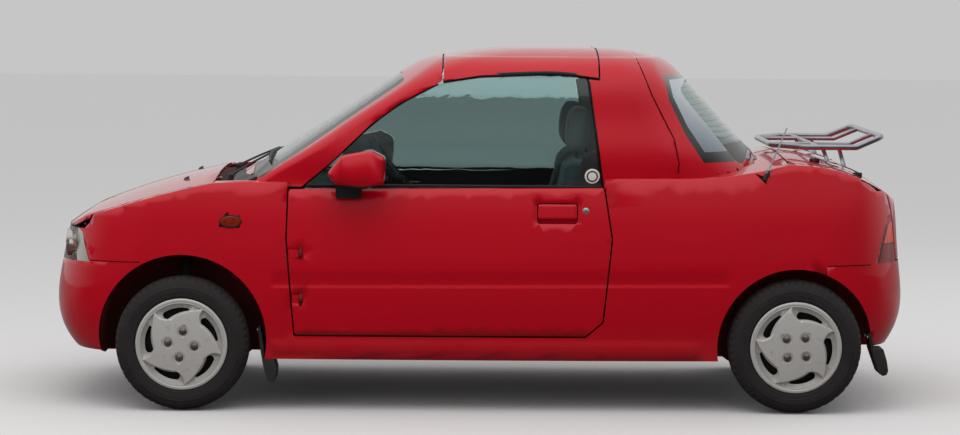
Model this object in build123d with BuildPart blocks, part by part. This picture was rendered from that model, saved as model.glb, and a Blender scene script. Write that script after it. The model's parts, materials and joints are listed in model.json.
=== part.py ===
from build123d import *
from math import atan2, cos, degrees, hypot, radians, sin, sqrt
import os

os.makedirs("parts", exist_ok=True)

# Frame: ground at z = 0, front towards -X, left side towards -Y. All sizes in millimetres.

# Driving dimensions
FRONT_AXLE_X = -1122.5
REAR_AXLE_X = 1187.5
TRACK_HALF = 605.0
TYRE_RADIUS = 254.0
TYRE_WIDTH = 145.0
RIM_RADIUS = 158.0
COVER_RADIUS = 172.5
FRONT_ARCH_RADIUS = 318.0
FRONT_ARCH_LIFT = 19.0
REAR_ARCH_RADIUS = 296.0

PANEL_GAP = 6.0
BODY_WALL = 58.0
TOP_SKIN = 14.0
PILLAR_IN = 34.0
ROOF_SKIN = 28.0
GLASS_IN = 3.5
GLASS_DROP = 3.0
GLASS_THICK = 7.0
FIT = 0.3
RUN_FIT = 0.1
LENS_THICK = 4.0

HOOD_CROWN = 6000.0
SIDE_BOW = 26000.0
BODY_WIDEST_X = 60.0
CABIN_WIDEST_X = 290.0

SILL_BOTTOM = 198.0
BUMPER_SEAM_Z = 561.0
FRONT_LIP_Z = 218.0
REAR_LIP_Z = 247.0
REAR_SEAM_X = 1300.0

# Plan outlines of the body at heights z: bow in front, bow behind, bowed sides, round corners.
# z, nose_x, tail_x, half_width, front_bow_r, rear_bow_r, front_corner_r, rear_corner_r
BODY_LEVELS = [
    (190, -1545, 1552, 662, 2900, 3000, 300, 300),
    (300, -1630, 1622, 681, 2700, 3000, 320, 320),
    (440, -1647.5, 1647.5, 696, 2600, 3000, 330, 330),
    (560, -1628, 1636, 697.5, 2500, 3000, 340, 330),
    (680, -1604, 1626, 689, 2300, 3000, 350, 330),
    (800, -1580, 1614, 668, 2200, 2800, 350, 330),
    (1000, -1530, 1596, 622, 2200, 2600, 350, 320),
]
CABIN_LEVELS = [
    (815, -1011, 1212, 650, 2200, 900, 70, 400),
    (945, -812, 1092, 627, 2000, 930, 70, 360),
    (1060, -636, 985, 603, 1800, 960, 70, 290),
    (1180, -453, 873, 574, 1650, 980, 80, 220),
    (1240, -361, 817, 553, 1560, 990, 90, 180),
    (1290, -280, 766, 514, 1500, 1000, 110, 170),
    (1335, -130, 680, 420, 1450, 1000, 160, 170),
]

ROOF_LEVELS = [
    (1335, -130, 680, 420, 1450, 1000, 160, 170),
    (1352, -35, 610, 340, 1400, 1000, 160, 170),
    (1364, 95, 495, 215, 1300, 900, 130, 130),
]

# Side profile of hood and rear deck on the middle of the car: arcs by start, mid, end (x, z).
TOP_ARCS = [
    ((-1700, 590), (-1589, 684), (-1500, 741)),
    ((-1500, 741), (-1265, 823), (-1003, 887)),
    ((-1003, 887), (-150, 906), (700, 915)),
    ((700, 915), (950, 925), (1157, 963)),
    ((1157, 963), (1390, 926), (1540, 843)),
    ((1540, 843), (1585, 808), (1620, 759)),
]


def crossing(centre_a, radius_a, centre_b, radius_b, inward):
    # the point with y > 0 where two circles meet, nearest the middle of the car
    dx, dy = centre_b[0] - centre_a[0], centre_b[1] - centre_a[1]
    apart = hypot(dx, dy)
    along = (radius_a**2 - radius_b**2 + apart**2) / (2 * apart)
    aside = sqrt(radius_a**2 - along**2)
    mid = (centre_a[0] + along * dx / apart, centre_a[1] + along * dy / apart)
    found = [
        (mid[0] + s * aside * dy / apart, mid[1] - s * aside * dx / apart) for s in (1, -1)
    ]
    return min([p for p in found if p[1] > 0], key=lambda p: p[0] * inward)


def point_towards(centre, target, radius):
    d = hypot(target[0] - centre[0], target[1] - centre[1])
    return (
        centre[0] + (target[0] - centre[0]) / d * radius,
        centre[1] + (target[1] - centre[1]) / d * radius,
    )


def round_corner(bow_centre, bow_r, side_centre, side_r, corner_r, inward):
    centre = crossing(bow_centre, bow_r - corner_r, side_centre, side_r - corner_r, inward)
    on_bow = point_towards(bow_centre, centre, bow_r)
    on_side = point_towards(side_centre, centre, side_r)
    between = ((on_bow[0] + on_side[0]) / 2, (on_bow[1] + on_side[1]) / 2)
    return on_bow, point_towards(centre, between, corner_r), on_side


def other_side(point):
    return (point[0], -point[1])


def stacked_outlines(levels, inset, widest_x, drop=0.0):
    # a smooth solid through plan outlines, each drawn in by the inset and let down by the drop
    with BuildPart() as solid:
        for z, nose, tail, half, bow_f, bow_r, corner_f, corner_r in levels:
            nose, tail, half = nose + inset, tail - inset, half - inset
            side_r = SIDE_BOW - inset
            side_centre = (widest_x, half - side_r)
            bow_f, bow_r = bow_f - inset, bow_r - inset
            f_bow, f_mid, f_side = round_corner(
                (nose + bow_f, 0), bow_f, side_centre, side_r, corner_f - inset, 1)
            r_bow, r_mid, r_side = round_corner(
                (tail - bow_r, 0), bow_r, side_centre, side_r, corner_r - inset, -1)
            with BuildSketch(Plane.XY.offset(z - drop)):
                with BuildLine():
                    ThreePointArc(other_side(f_bow), (nose, 0), f_bow)
                    ThreePointArc(f_bow, f_mid, f_side)
                    ThreePointArc(f_side, (widest_x, half), r_side)
                    ThreePointArc(r_side, r_mid, r_bow)
                    ThreePointArc(r_bow, (tail, 0), other_side(r_bow))
                    ThreePointArc(other_side(r_bow), other_side(r_mid), other_side(r_side))
                    ThreePointArc(other_side(r_side), (widest_x, -half), other_side(f_side))
                    ThreePointArc(other_side(f_side), other_side(f_mid), other_side(f_bow))
                make_face()
        loft()
    return solid.part


def crowned_under(arcs, crown_r, half_angle, drop):
    # the space under a side profile that is swept about a far axis, so tops are crowned
    first, last = arcs[0][0], arcs[-1][2]
    with BuildPart() as solid:
        with BuildSketch(Plane.XZ):
            with BuildLine():
                for start, mid, end in arcs:
                    ThreePointArc(
                        (start[0], start[1] - drop), (mid[0], mid[1] - drop), (end[0], end[1] - drop))
                Polyline((last[0], last[1] - drop), (last[0] + 80, last[1] - drop - 140), (last[0] + 80, 100),
                         (first[0], 100), (first[0], first[1] - drop))
            make_face()
        revolve(axis=Axis((0, 0, -crown_r), (1, 0, 0)), revolution_arc=half_angle)
        mirror(about=Plane.XZ)
    return solid.part


def height_on(arcs, x):
    # height of a side profile of arcs at x
    for (x1, z1), (x2, z2), (x3, z3) in arcs:
        if x1 <= x <= x3:
            twice = 2 * (x1 * (z2 - z3) + x2 * (z3 - z1) + x3 * (z1 - z2))
            a, b, c = x1**2 + z1**2, x2**2 + z2**2, x3**2 + z3**2
            mid_x = (a * (z2 - z3) + b * (z3 - z1) + c * (z1 - z2)) / twice
            mid_z = (a * (x3 - x2) + b * (x1 - x3) + c * (x2 - x1)) / twice
            rise = sqrt((x1 - mid_x)**2 + (z1 - mid_z)**2 - (x - mid_x)**2)
            return mid_z + rise if mid_z < z2 else mid_z - rise
    raise ValueError("x lies off the profile")


def deck_z(x, y):
    # height of the crowned hood or deck at a point in plan
    return sqrt((HOOD_CROWN + height_on(TOP_ARCS, x))**2 - y**2) - HOOD_CROWN


def body_solid(inset, drop):
    with BuildPart() as solid:
        add(stacked_outlines(BODY_LEVELS, inset, BODY_WIDEST_X))
        add(crowned_under(TOP_ARCS, HOOD_CROWN, 7.6, drop), mode=Mode.INTERSECT)
    return solid.part


def cabin_solid(inset, drop):
    with BuildPart() as solid:
        add(stacked_outlines(CABIN_LEVELS, inset, CABIN_WIDEST_X, drop))
        add(stacked_outlines(ROOF_LEVELS, inset, CABIN_WIDEST_X, drop))
    return solid.part


def shell_between(outer, inner):
    with BuildPart() as solid:
        add(outer)
        add(inner, mode=Mode.SUBTRACT)
    return solid.part


def cut_out(source, plane, outline, depth, round_by=0.0, shrink=0.0):
    # the part of a shell inside an outline that is run along the plane's normal
    with BuildPart() as solid:
        add(source)
        with BuildSketch(plane):
            with BuildLine():
                Polyline(*outline, close=True)
            make_face()
            if round_by:
                fillet(vertices(), round_by)
            if shrink:
                offset(amount=-shrink, kind=Kind.INTERSECTION, mode=Mode.REPLACE)
        extrude(amount=depth, mode=Mode.INTERSECT)
    return solid.part


def block_of(plane, outline, depth, round_by=0.0, grow=0.0):
    with BuildPart() as solid:
        with BuildSketch(plane):
            with BuildLine():
                Polyline(*outline, close=True)
            make_face()
            if round_by:
                fillet(vertices(), round_by)
            if grow:
                offset(amount=grow, kind=Kind.INTERSECTION, mode=Mode.REPLACE)
        extrude(amount=depth)
    return solid.part


def left_side_plane(from_y=250.0):
    return Plane.XZ.offset(from_y)


SIDE_DEPTH = 600.0

body_outer = body_solid(0, 0)
body_inner = body_solid(BODY_WALL, TOP_SKIN)
body_shell = shell_between(body_outer, body_inner)
cabin_outer = cabin_solid(0, 0)
cabin_shell = shell_between(cabin_outer, cabin_solid(PILLAR_IN, ROOF_SKIN))
glass_shell = shell_between(
    cabin_solid(GLASS_IN, GLASS_DROP),
    cabin_solid(GLASS_IN + GLASS_THICK, GLASS_DROP + GLASS_THICK))

# cutting outlines
# Side outlines are (x, z); plan outlines are (x, y).
DOOR_OPENING = [(-728, 843), (-733, 651), (-703, 287), (395, 287), (462, 345), (494, 659), (464, 855)]
FRONT_ARCH_CENTRE = (FRONT_AXLE_X, TYRE_RADIUS + FRONT_ARCH_LIFT)
REAR_ARCH_CENTRE = (REAR_AXLE_X, TYRE_RADIUS)
FRONT_WELL_Y = 385.0
REAR_WELL_Y = 505.0
HOOD_OUTLINE = [(-1640, -470), (-1540, -500), (-1480, -545), (-1323, -590), (-1134, -606), (-1003, -610)]
LID_FRONT_X = 1157.0
LID_HALF = 560.0
LID_REAR_HALF = 470.0
LID_BOTTOM = 566.0
LAMP_TOP = 700.0
LAMP_BOTTOM = 556.0
PILLAR_LINE = [(-690, 836), (-571, 934), (-422, 1077), (-310, 1160), (-160, 1238)]
HEADER_SEAM_X = -150.0
HOOP_SEAM_X = 447.0
T_BAR_HALF = 62.0


def mirrored(source):
    with BuildPart() as solid:
        add(source)
        mirror(about=Plane.XZ, mode=Mode.REPLACE)
    return solid.part


def box_between(low, high):
    with BuildPart() as solid:
        with Locations([tuple((a + b) / 2 for a, b in zip(low, high))]):
            Box(*(b - a for a, b in zip(low, high)))
    return solid.part


def arch_cutter(centre, radius, inner_y):
    with BuildPart() as solid:
        with BuildSketch(Plane.XZ.offset(inner_y)):
            with Locations([centre]):
                Circle(radius)
        extrude(amount=800 - inner_y)
        mirror(about=Plane.XZ)
    return solid.part


front_arch = arch_cutter(FRONT_ARCH_CENTRE, FRONT_ARCH_RADIUS, FRONT_WELL_Y)
rear_arch = arch_cutter(REAR_ARCH_CENTRE, REAR_ARCH_RADIUS, REAR_WELL_Y)
both_ways_plan = Plane.XY.offset(150)

# lower body panels
hood_full = HOOD_OUTLINE + [(x, -y) for x, y in reversed(HOOD_OUTLINE)]
top_zone = box_between((-1700, -800, 676), (-1003, 800, 1100))
hood_zone = cut_out(top_zone, both_ways_plan, hood_full, 1000)
hood_cutter = cut_out(
    box_between((-1700, -800, 676 + PANEL_GAP), (-1003 - PANEL_GAP, 800, 1100)),
    both_ways_plan, hood_full, 1000, shrink=PANEL_GAP)
under_skin = crowned_under(TOP_ARCS, HOOD_CROWN, 7.6, TOP_SKIN)

# Hood hinge: an axis across the car behind and below the hood's rear edge.
HOOD_HINGE = (-996.0, 862.0)
HOOD_HINGE_Y = 430.0
HOOD_LUG_HALF = 10.0
HOOD_BARREL = 7.0
HOOD_PIN = 3.5
HOOD_EAR = 8.0


def cross_cylinder(place, radius, low_y, high_y):
    # a cylinder along Y between two y values, at (x, z)
    with BuildPart() as solid:
        with BuildSketch(Plane.XZ.offset(-high_y)):
            with Locations([place]):
                Circle(radius)
        extrude(amount=high_y - low_y)
    return solid.part


with BuildPart() as hood:
    add(body_outer)
    add(hood_cutter, mode=Mode.INTERSECT)
    add(under_skin, mode=Mode.SUBTRACT)
    for side in (-1, 1):
        mid = side * HOOD_HINGE_Y
        with BuildSketch(Plane.XZ.offset(-mid - HOOD_LUG_HALF)):
            with BuildLine():
                Polyline((-1075, 847), (-1075, 852), (-1012, 865), (-998, 868), (-998, 855), (-1014, 851), close=True)
            make_face()
        extrude(amount=2 * HOOD_LUG_HALF)
        add(cross_cylinder(HOOD_HINGE, HOOD_BARREL, mid - HOOD_LUG_HALF, mid + HOOD_LUG_HALF))
        add(cross_cylinder(HOOD_HINGE, HOOD_PIN + RUN_FIT, mid - 20, mid + 20), mode=Mode.SUBTRACT)
hood.part.label = "hood"

def lid_outline(back):
    # the lid in plan, its tapered rear corners moved forward by some amount
    side = [(LID_FRONT_X, -LID_HALF), (1440 - back, -LID_HALF), (1590 - back, -LID_REAR_HALF), (1700, -LID_REAR_HALF)]
    return side + [(x, -y) for x, y in reversed(side)]


LID_SHOULDER = 836.0


def lid_form(gap):
    # the lid's room: wide over the deck, and between the lamps below its shoulder
    with BuildPart() as solid:
        add(cut_out(box_between((LID_FRONT_X + gap, -800, LID_BOTTOM + gap), (1700, 800, 1100)),
                    both_ways_plan, lid_outline(gap * 2 / 3), 1000, shrink=gap))
        for low_y, high_y in ((-801, gap - LID_REAR_HALF), (LID_REAR_HALF - gap, 801)):
            add(box_between((1100, low_y, 500), (1701, high_y, LID_SHOULDER + gap)), mode=Mode.SUBTRACT)
    return solid.part


lid_zone = lid_form(0.0)
lid_cutter = lid_form(PANEL_GAP)
LID_HINGE = (1166.0, 957.0)
LID_HINGE_Y = 80.0
LID_KNUCKLE = 5.5
LID_KNUCKLE_HALF = 10.0
LID_PIN = 2.5
LID_EAR = 9.0
LID_EAR_ROUND = 5.0

with BuildPart() as lid_room:
    add(lid_cutter)
    for side in (-1, 1):
        mid = side * LID_HINGE_Y
        reach = LID_KNUCKLE_HALF + LID_EAR + 1.5
        add(box_between((1150, mid - reach, 500), (LID_HINGE[0] + LID_KNUCKLE + 1.5, mid + reach, 1200)),
            mode=Mode.SUBTRACT)

with BuildPart() as trunk_lid:
    add(body_shell)
    add(lid_room.part, mode=Mode.INTERSECT)
    for side in (-1, 1):
        mid = side * LID_HINGE_Y
        add(cross_cylinder(LID_HINGE, LID_KNUCKLE, mid - LID_KNUCKLE_HALF, mid + LID_KNUCKLE_HALF))
        add(box_between((LID_HINGE[0], mid - LID_KNUCKLE_HALF, 952), (1180, mid + LID_KNUCKLE_HALF, 957)))
        add(cross_cylinder(LID_HINGE, LID_PIN + RUN_FIT, mid - 20, mid + 20), mode=Mode.SUBTRACT)
trunk_lid.part.label = "trunk_lid"

door_cutter = block_of(left_side_plane(), DOOR_OPENING, SIDE_DEPTH, 14, grow=-PANEL_GAP)
door_zone = block_of(left_side_plane(), DOOR_OPENING + [(458, 1100), (-728, 1100)], SIDE_DEPTH)
# Door hinges: a vertical axis near the front edge, with a barrel and pin at each level.
DOOR_HINGE = (-675.0, -682.5)
DOOR_HINGE_LEVELS = (430.0, 600.0)
DOOR_BARREL = 8.0
DOOR_BARREL_HALF = 14.0
DOOR_PIN = 4.0
DOOR_PIN_HALF = 26.0
DOOR_STRAP = 7.0
JAMB_THICK = 12.0
JAMB_LAP = 34.0
JAMB_TOP = 800.0

# Flush pull handle: a groove round a plate, wider below for the fingers. (x, z)
HANDLE_POCKET = [(208, 716), (361, 716), (361, 793), (208, 793)]
HANDLE_PLATE = [(212, 734), (357, 734), (357, 789), (212, 789)]

with BuildPart() as handle_groove:
    add(block_of(Plane.XZ.offset(655), HANDLE_POCKET, 60, 12))
    add(block_of(Plane.XZ.offset(655), HANDLE_PLATE, 60, 8), mode=Mode.SUBTRACT)

with BuildPart() as door_left:
    add(body_shell)
    add(door_cutter, mode=Mode.INTERSECT)
    add(handle_groove.part, mode=Mode.SUBTRACT)
    for level in DOOR_HINGE_LEVELS:
        half = DOOR_BARREL_HALF + FIT
        add(box_between((-780, DOOR_HINGE[1] - DOOR_BARREL - 0.5, level - half),
                        (DOOR_HINGE[0] + DOOR_BARREL + 1, -560, level + half)), mode=Mode.SUBTRACT)
        with Locations([(DOOR_HINGE[0], DOOR_HINGE[1], level)]):
            Cylinder(DOOR_PIN + RUN_FIT, 2 * DOOR_PIN_HALF + 2, mode=Mode.SUBTRACT)
door_left.part.label = "door_left"
with BuildPart() as door_right:
    add(mirrored(door_left.part))
door_right.part.label = "door_right"

# lamp zones, left side
headlight_outline = [(-1700, 552), (-1478, 556), (-1497, 610), (-1512, 664), (-1545, 686), (-1560, 676 + 10),
                     (-1700, 676 + 10)]
headlight_zone = block_of(Plane.XZ.offset(330), headlight_outline, 500)
tail_outline = [(1500, 568), (1512, 566), (1700, LAMP_BOTTOM + 8), (1700, 716), (1560, 716), (1540, 700)]
tail_zone = block_of(Plane.XZ.offset(LID_REAR_HALF), tail_outline, 400)

with BuildPart() as lamp_hollow:
    add(body_solid(LENS_THICK, LENS_THICK))
    add(box_between((-1640, -655, 566), (-1522, -342, 672)), mode=Mode.INTERSECT)

with BuildPart() as headlights:
    add(body_shell)
    add(headlight_zone, mode=Mode.INTERSECT)
    add(hood_zone, mode=Mode.SUBTRACT)
    add(lamp_hollow.part, mode=Mode.SUBTRACT)
    with BuildSketch(Plane.YZ.offset(-1560)):
        with Locations([(-450, 618)]):
            Circle(24)
    extrude(amount=120, mode=Mode.SUBTRACT)
    mirror(about=Plane.XZ)
headlights.part.label = "headlights"

with BuildPart() as tail_lights:
    add(body_shell)
    add(tail_zone, mode=Mode.INTERSECT)
    add(lid_zone, mode=Mode.SUBTRACT)
    mirror(about=Plane.XZ)
tail_lights.part.label = "tail_lights"

INTAKE_LOW = 292.0
INTAKE_HIGH = 424.0
INTAKE_HALF = 350.0
INTAKE_ROUND = 22.0
SLOT_Z = 598.0
SLOT_WIDE = 420.0
SLOT_HIGH = 40.0
GRILLE_PITCH_Y = 136.0
GRILLE_PITCH_Z = 31.0
# Hood buffers stand on the radiator support, in notches of the bumper's upper lip: x, y, radius
BUFFER_X = -1542.0
BUFFER_Y = 300.0
BUFFER_RADIUS = 10.0
BUFFER_FOOT = 640.0
BUFFER_ROOM = BUFFER_RADIUS + FIT
bumper_front_zone = box_between((-1700, -800, FRONT_LIP_Z), (-1150, 800, BUMPER_SEAM_Z))
with BuildPart() as front_bumper:
    add(bumper_front_zone)
    add(box_between((-1700, -330, BUMPER_SEAM_Z), (-1480, 330, 676)))
    add(body_shell, mode=Mode.INTERSECT)
    add(hood_zone, mode=Mode.SUBTRACT)
    add(front_arch, mode=Mode.SUBTRACT)
    add(headlight_zone, mode=Mode.SUBTRACT)
    add(mirrored(headlight_zone), mode=Mode.SUBTRACT)
    with BuildSketch(Plane.YZ.offset(-1700)):
        with Locations([(0, (INTAKE_LOW + INTAKE_HIGH) / 2)]):
            RectangleRounded(2 * INTAKE_HALF, INTAKE_HIGH - INTAKE_LOW, INTAKE_ROUND)
        with Locations([(0, SLOT_Z)]):
            SlotOverall(SLOT_WIDE, SLOT_HIGH)
    extrude(amount=160, mode=Mode.SUBTRACT)
    for side in (-1, 1):
        low_y, high_y = side * BUFFER_Y - BUFFER_ROOM, side * BUFFER_Y + BUFFER_ROOM
        add(box_between((BUFFER_X - BUFFER_ROOM, low_y, BUFFER_FOOT - FIT), (-1470, high_y, 700)),
            mode=Mode.SUBTRACT)
front_bumper.part.label = "front_bumper"

# Grille: slats and ribs standing in the intake.
with BuildPart() as front_grille:
    with BuildSketch(Plane.YZ.offset(-1600)):
        with Locations([(0, (INTAKE_LOW + INTAKE_HIGH) / 2)]):
            RectangleRounded(2 * (INTAKE_HALF - FIT), INTAKE_HIGH - INTAKE_LOW - 2 * FIT, INTAKE_ROUND - FIT)
            with GridLocations(GRILLE_PITCH_Y, GRILLE_PITCH_Z, 5, 4):
                Rectangle(GRILLE_PITCH_Y - 5, GRILLE_PITCH_Z - 7, mode=Mode.SUBTRACT)
    extrude(amount=18)
front_grille.part.label = "front_grille"

fender_zone = box_between((-1640, -800, BUMPER_SEAM_Z), (-690, -330, 1100))
fender_low = box_between((-1122, -800, 198), (-700, -500, BUMPER_SEAM_Z))
with BuildPart() as front_fenders:
    add(fender_zone)
    add(fender_low)
    add(body_shell, mode=Mode.INTERSECT)
    add(hood_zone, mode=Mode.SUBTRACT)
    add(door_zone, mode=Mode.SUBTRACT)
    add(front_arch, mode=Mode.SUBTRACT)
    add(headlight_zone, mode=Mode.SUBTRACT)
    add(box_between((-1640, -331, 100), (-1480, 331, 900)), mode=Mode.SUBTRACT)
    add(box_between((-1003, -575, 820), (-690, 575, 1100)), mode=Mode.SUBTRACT)
    for level in DOOR_HINGE_LEVELS:
        half = DOOR_BARREL_HALF + FIT
        add(box_between((-752 - FIT, -636.5 - FIT, level - half), (-680, -560, level + half)), mode=Mode.SUBTRACT)
    add(cabin_outer, mode=Mode.SUBTRACT)
    mirror(about=Plane.XZ)
front_fenders.part.label = "front_fenders"

with BuildPart() as side_markers:
    with BuildSketch(Plane.XZ.offset(630)):
        with Locations([(-939, 717)]):
            Ellipse(37.5, 20.5)
    extrude(amount=42)
    fillet(side_markers.faces().sort_by(Axis.Y)[0].edges(), 4)
    add(front_fenders.part, mode=Mode.SUBTRACT)
    add(box_between((-1000, -800, 680), (-880, -645, 760)), mode=Mode.INTERSECT)
    mirror(about=Plane.XZ)
side_markers.part.label = "side_markers"

# Cowl: a crowned tray that falls away below the hood's rear edge, with the hood's hinge ears.
COWL_HALF = 574.0
COWL_ARC = [((-1003, 846), (-940, 868), (-850, 903))]
COWL_THICK = 9.0
with BuildPart() as cowl:
    add(crowned_under(COWL_ARC, HOOD_CROWN, 5.6, 0))
    add(crowned_under(COWL_ARC, HOOD_CROWN, 5.6, COWL_THICK), mode=Mode.SUBTRACT)
    add(box_between((-1003, -COWL_HALF, 800), (-851, COWL_HALF, 1100)), mode=Mode.INTERSECT)
    add(cabin_outer, mode=Mode.SUBTRACT)
    for side in (-1, 1):
        mid = side * HOOD_HINGE_Y
        for low in (mid - HOOD_LUG_HALF - FIT - HOOD_EAR, mid + HOOD_LUG_HALF + FIT):
            add(cross_cylinder(HOOD_HINGE, HOOD_BARREL, low, low + HOOD_EAR))
            add(box_between((HOOD_HINGE[0] - HOOD_BARREL, low, 826), (HOOD_HINGE[0] + HOOD_BARREL, low + HOOD_EAR,
                                                                     HOOD_HINGE[1])))
        reach = HOOD_LUG_HALF + FIT + HOOD_EAR
        add(cross_cylinder(HOOD_HINGE, HOOD_PIN, mid - reach, mid + reach))
cowl.part.label = "cowl"

bumper_rear_zone = box_between((REAR_SEAM_X, -800, REAR_LIP_Z), (1700, 800, BUMPER_SEAM_Z))
with BuildPart() as rear_bumper:
    add(body_shell)
    add(bumper_rear_zone, mode=Mode.INTERSECT)
    add(rear_arch, mode=Mode.SUBTRACT)
    add(tail_zone, mode=Mode.SUBTRACT)
    add(mirrored(tail_zone), mode=Mode.SUBTRACT)
    with BuildSketch(Plane.YZ.offset(1629)):
        with Locations([(0, 448)]):
            RectangleRounded(370, 150, 18)
    extrude(amount=60, mode=Mode.SUBTRACT)
rear_bumper.part.label = "rear_bumper"

quarter_zone = box_between((380, -800, 198), (1700, -380, 1100))
sill_zone = box_between((-700, -800, 198), (600, -500, 287))
with BuildPart() as quarter_left:
    add(quarter_zone)
    add(box_between((740, -381, 850), (LID_FRONT_X, 0, 1100)))
    add(sill_zone)
    add(body_shell, mode=Mode.INTERSECT)
    add(door_zone, mode=Mode.SUBTRACT)
    add(lid_zone, mode=Mode.SUBTRACT)
    add(rear_arch, mode=Mode.SUBTRACT)
    add(tail_zone, mode=Mode.SUBTRACT)
    add(box_between((REAR_SEAM_X, -800, 0), (1700, 0, BUMPER_SEAM_Z)), mode=Mode.SUBTRACT)
    add(cabin_outer, mode=Mode.SUBTRACT)
    reach = LID_KNUCKLE_HALF + FIT + LID_EAR
    for low in (-LID_HINGE_Y - reach, -LID_HINGE_Y + LID_KNUCKLE_HALF + FIT):
        add(cross_cylinder(LID_HINGE, LID_EAR_ROUND, low, low + LID_EAR))
        add(box_between((1150, low, 952), (LID_HINGE[0], low + LID_EAR, LID_HINGE[1])))
    add(cross_cylinder(LID_HINGE, LID_PIN, -LID_HINGE_Y - reach, -LID_HINGE_Y + reach))
quarter_left.part.label = "quarter_left"
with BuildPart() as quarter_right:
    add(mirrored(quarter_left.part))
quarter_right.part.label = "quarter_right"

# cabin top
WIND_BASE = (-861.0, 913.0)
WIND_TOP = (-288.0, 1288.0)
wind_angle = atan2(WIND_TOP[1] - WIND_BASE[1], WIND_TOP[0] - WIND_BASE[0])
wind_plane = Plane(origin=(WIND_BASE[0], 0, WIND_BASE[1]), x_dir=(0, -1, 0),
                   z_dir=(-sin(wind_angle), 0, cos(wind_angle)))
wind_length = hypot(WIND_TOP[0] - WIND_BASE[0], WIND_TOP[1] - WIND_BASE[1])
wind_outline = [(-592, -24), (592, -24), (448, wind_length - 30), (-448, wind_length - 30)]
rear_plane = Plane(origin=(1073, 0, 965), x_dir=(0, 1, 0), z_dir=(0.733, 0, 0.681))
rear_outline = [(-470, 25), (470, 25), (412, 395), (-412, 395)]


def window_cutter(plane, outline, back, depth, round_by):
    return block_of(plane.offset(-back), outline, depth, round_by)


wind_cutter = window_cutter(wind_plane, wind_outline, 180, 260, 45)
rear_cutter = window_cutter(rear_plane, rear_outline, 330, 420, 50)

with BuildPart() as windshield:
    add(glass_shell)
    add(wind_cutter, mode=Mode.INTERSECT)
    add(box_between((-1100, -800, 850), (0, 800, 1500)), mode=Mode.INTERSECT)
windshield.part.label = "windshield"

with BuildPart() as rear_window:
    add(glass_shell)
    add(rear_cutter, mode=Mode.INTERSECT)
    add(box_between((500, -800, 850), (1300, 800, 1500)), mode=Mode.INTERSECT)
rear_window.part.label = "rear_window"

frame_outline = [(-1150, 846)] + [(-676, 846)] + PILLAR_LINE[1:] + [(HEADER_SEAM_X, 1246), (HEADER_SEAM_X, 1450),
                                                                   (-1150, 1450)]
with BuildPart() as windshield_frame:
    add(cut_out(cabin_shell, Plane.XZ.offset(-800), frame_outline, 1600))
    add(wind_cutter, mode=Mode.SUBTRACT)
windshield_frame.part.label = "windshield_frame"

# side glass between pillar, roof panel and hoop
side_glass_outline = [(-700, 800), (-676, 838), (-571, 934), (-422, 1077), (-310, 1160), (-160, 1238), (-8, 1262), (295, 1275),
                      (402, 1259), (458, 855), (458, 800)]
with BuildPart() as door_glass_left:
    add(glass_shell)
    add(block_of(left_side_plane(), side_glass_outline, SIDE_DEPTH, 6, grow=-PANEL_GAP), mode=Mode.INTERSECT)
    add(door_cutter, mode=Mode.SUBTRACT)
    add(box_between((-800, -800, 826), (500, -200, 1500)), mode=Mode.INTERSECT)
door_glass_left.part.label = "door_glass_left"
with BuildPart() as door_glass_right:
    add(mirrored(door_glass_left.part))
door_glass_right.part.label = "door_glass_right"

roof_outline = [(HEADER_SEAM_X + PANEL_GAP, 1450), (HEADER_SEAM_X + PANEL_GAP, 1244), (-8, 1266), (295, 1279),
                (405, 1264), (HOOP_SEAM_X - PANEL_GAP, 1260), (HOOP_SEAM_X - PANEL_GAP, 1450)]
with BuildPart() as roof_panel_left:
    add(cut_out(cabin_shell, Plane.XZ.offset(T_BAR_HALF + PANEL_GAP), roof_outline, 700))
roof_panel_left.part.label = "roof_panel_left"
with BuildPart() as roof_panel_right:
    add(mirrored(roof_panel_left.part))
roof_panel_right.part.label = "roof_panel_right"

hoop_outline = [(HOOP_SEAM_X, 1450), (HOOP_SEAM_X, 1249), (407, 1253), (462, 846), (732, 846), (745, 927),
                (727, 1031), (643, 1197), (584, 1347), (584, 1450)]
with BuildPart() as roof_hoop:
    add(block_of(Plane.XZ.offset(-800), hoop_outline, 1600))
    add(box_between((HEADER_SEAM_X, -T_BAR_HALF, 1200), (HOOP_SEAM_X + 1, T_BAR_HALF, 1450)))
    add(cabin_shell, mode=Mode.INTERSECT)
roof_hoop.part.label = "roof_hoop"

canopy_outline = [(584, 1450), (584, 1347), (643, 1197), (727, 1031), (745, 927), (732, 846), (1250, 846),
                  (1250, 1450)]
with BuildPart() as rear_canopy:
    add(cut_out(cabin_shell, Plane.XZ.offset(-800), canopy_outline, 1600))
    add(rear_cutter, mode=Mode.SUBTRACT)
rear_canopy.part.label = "rear_canopy"

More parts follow.
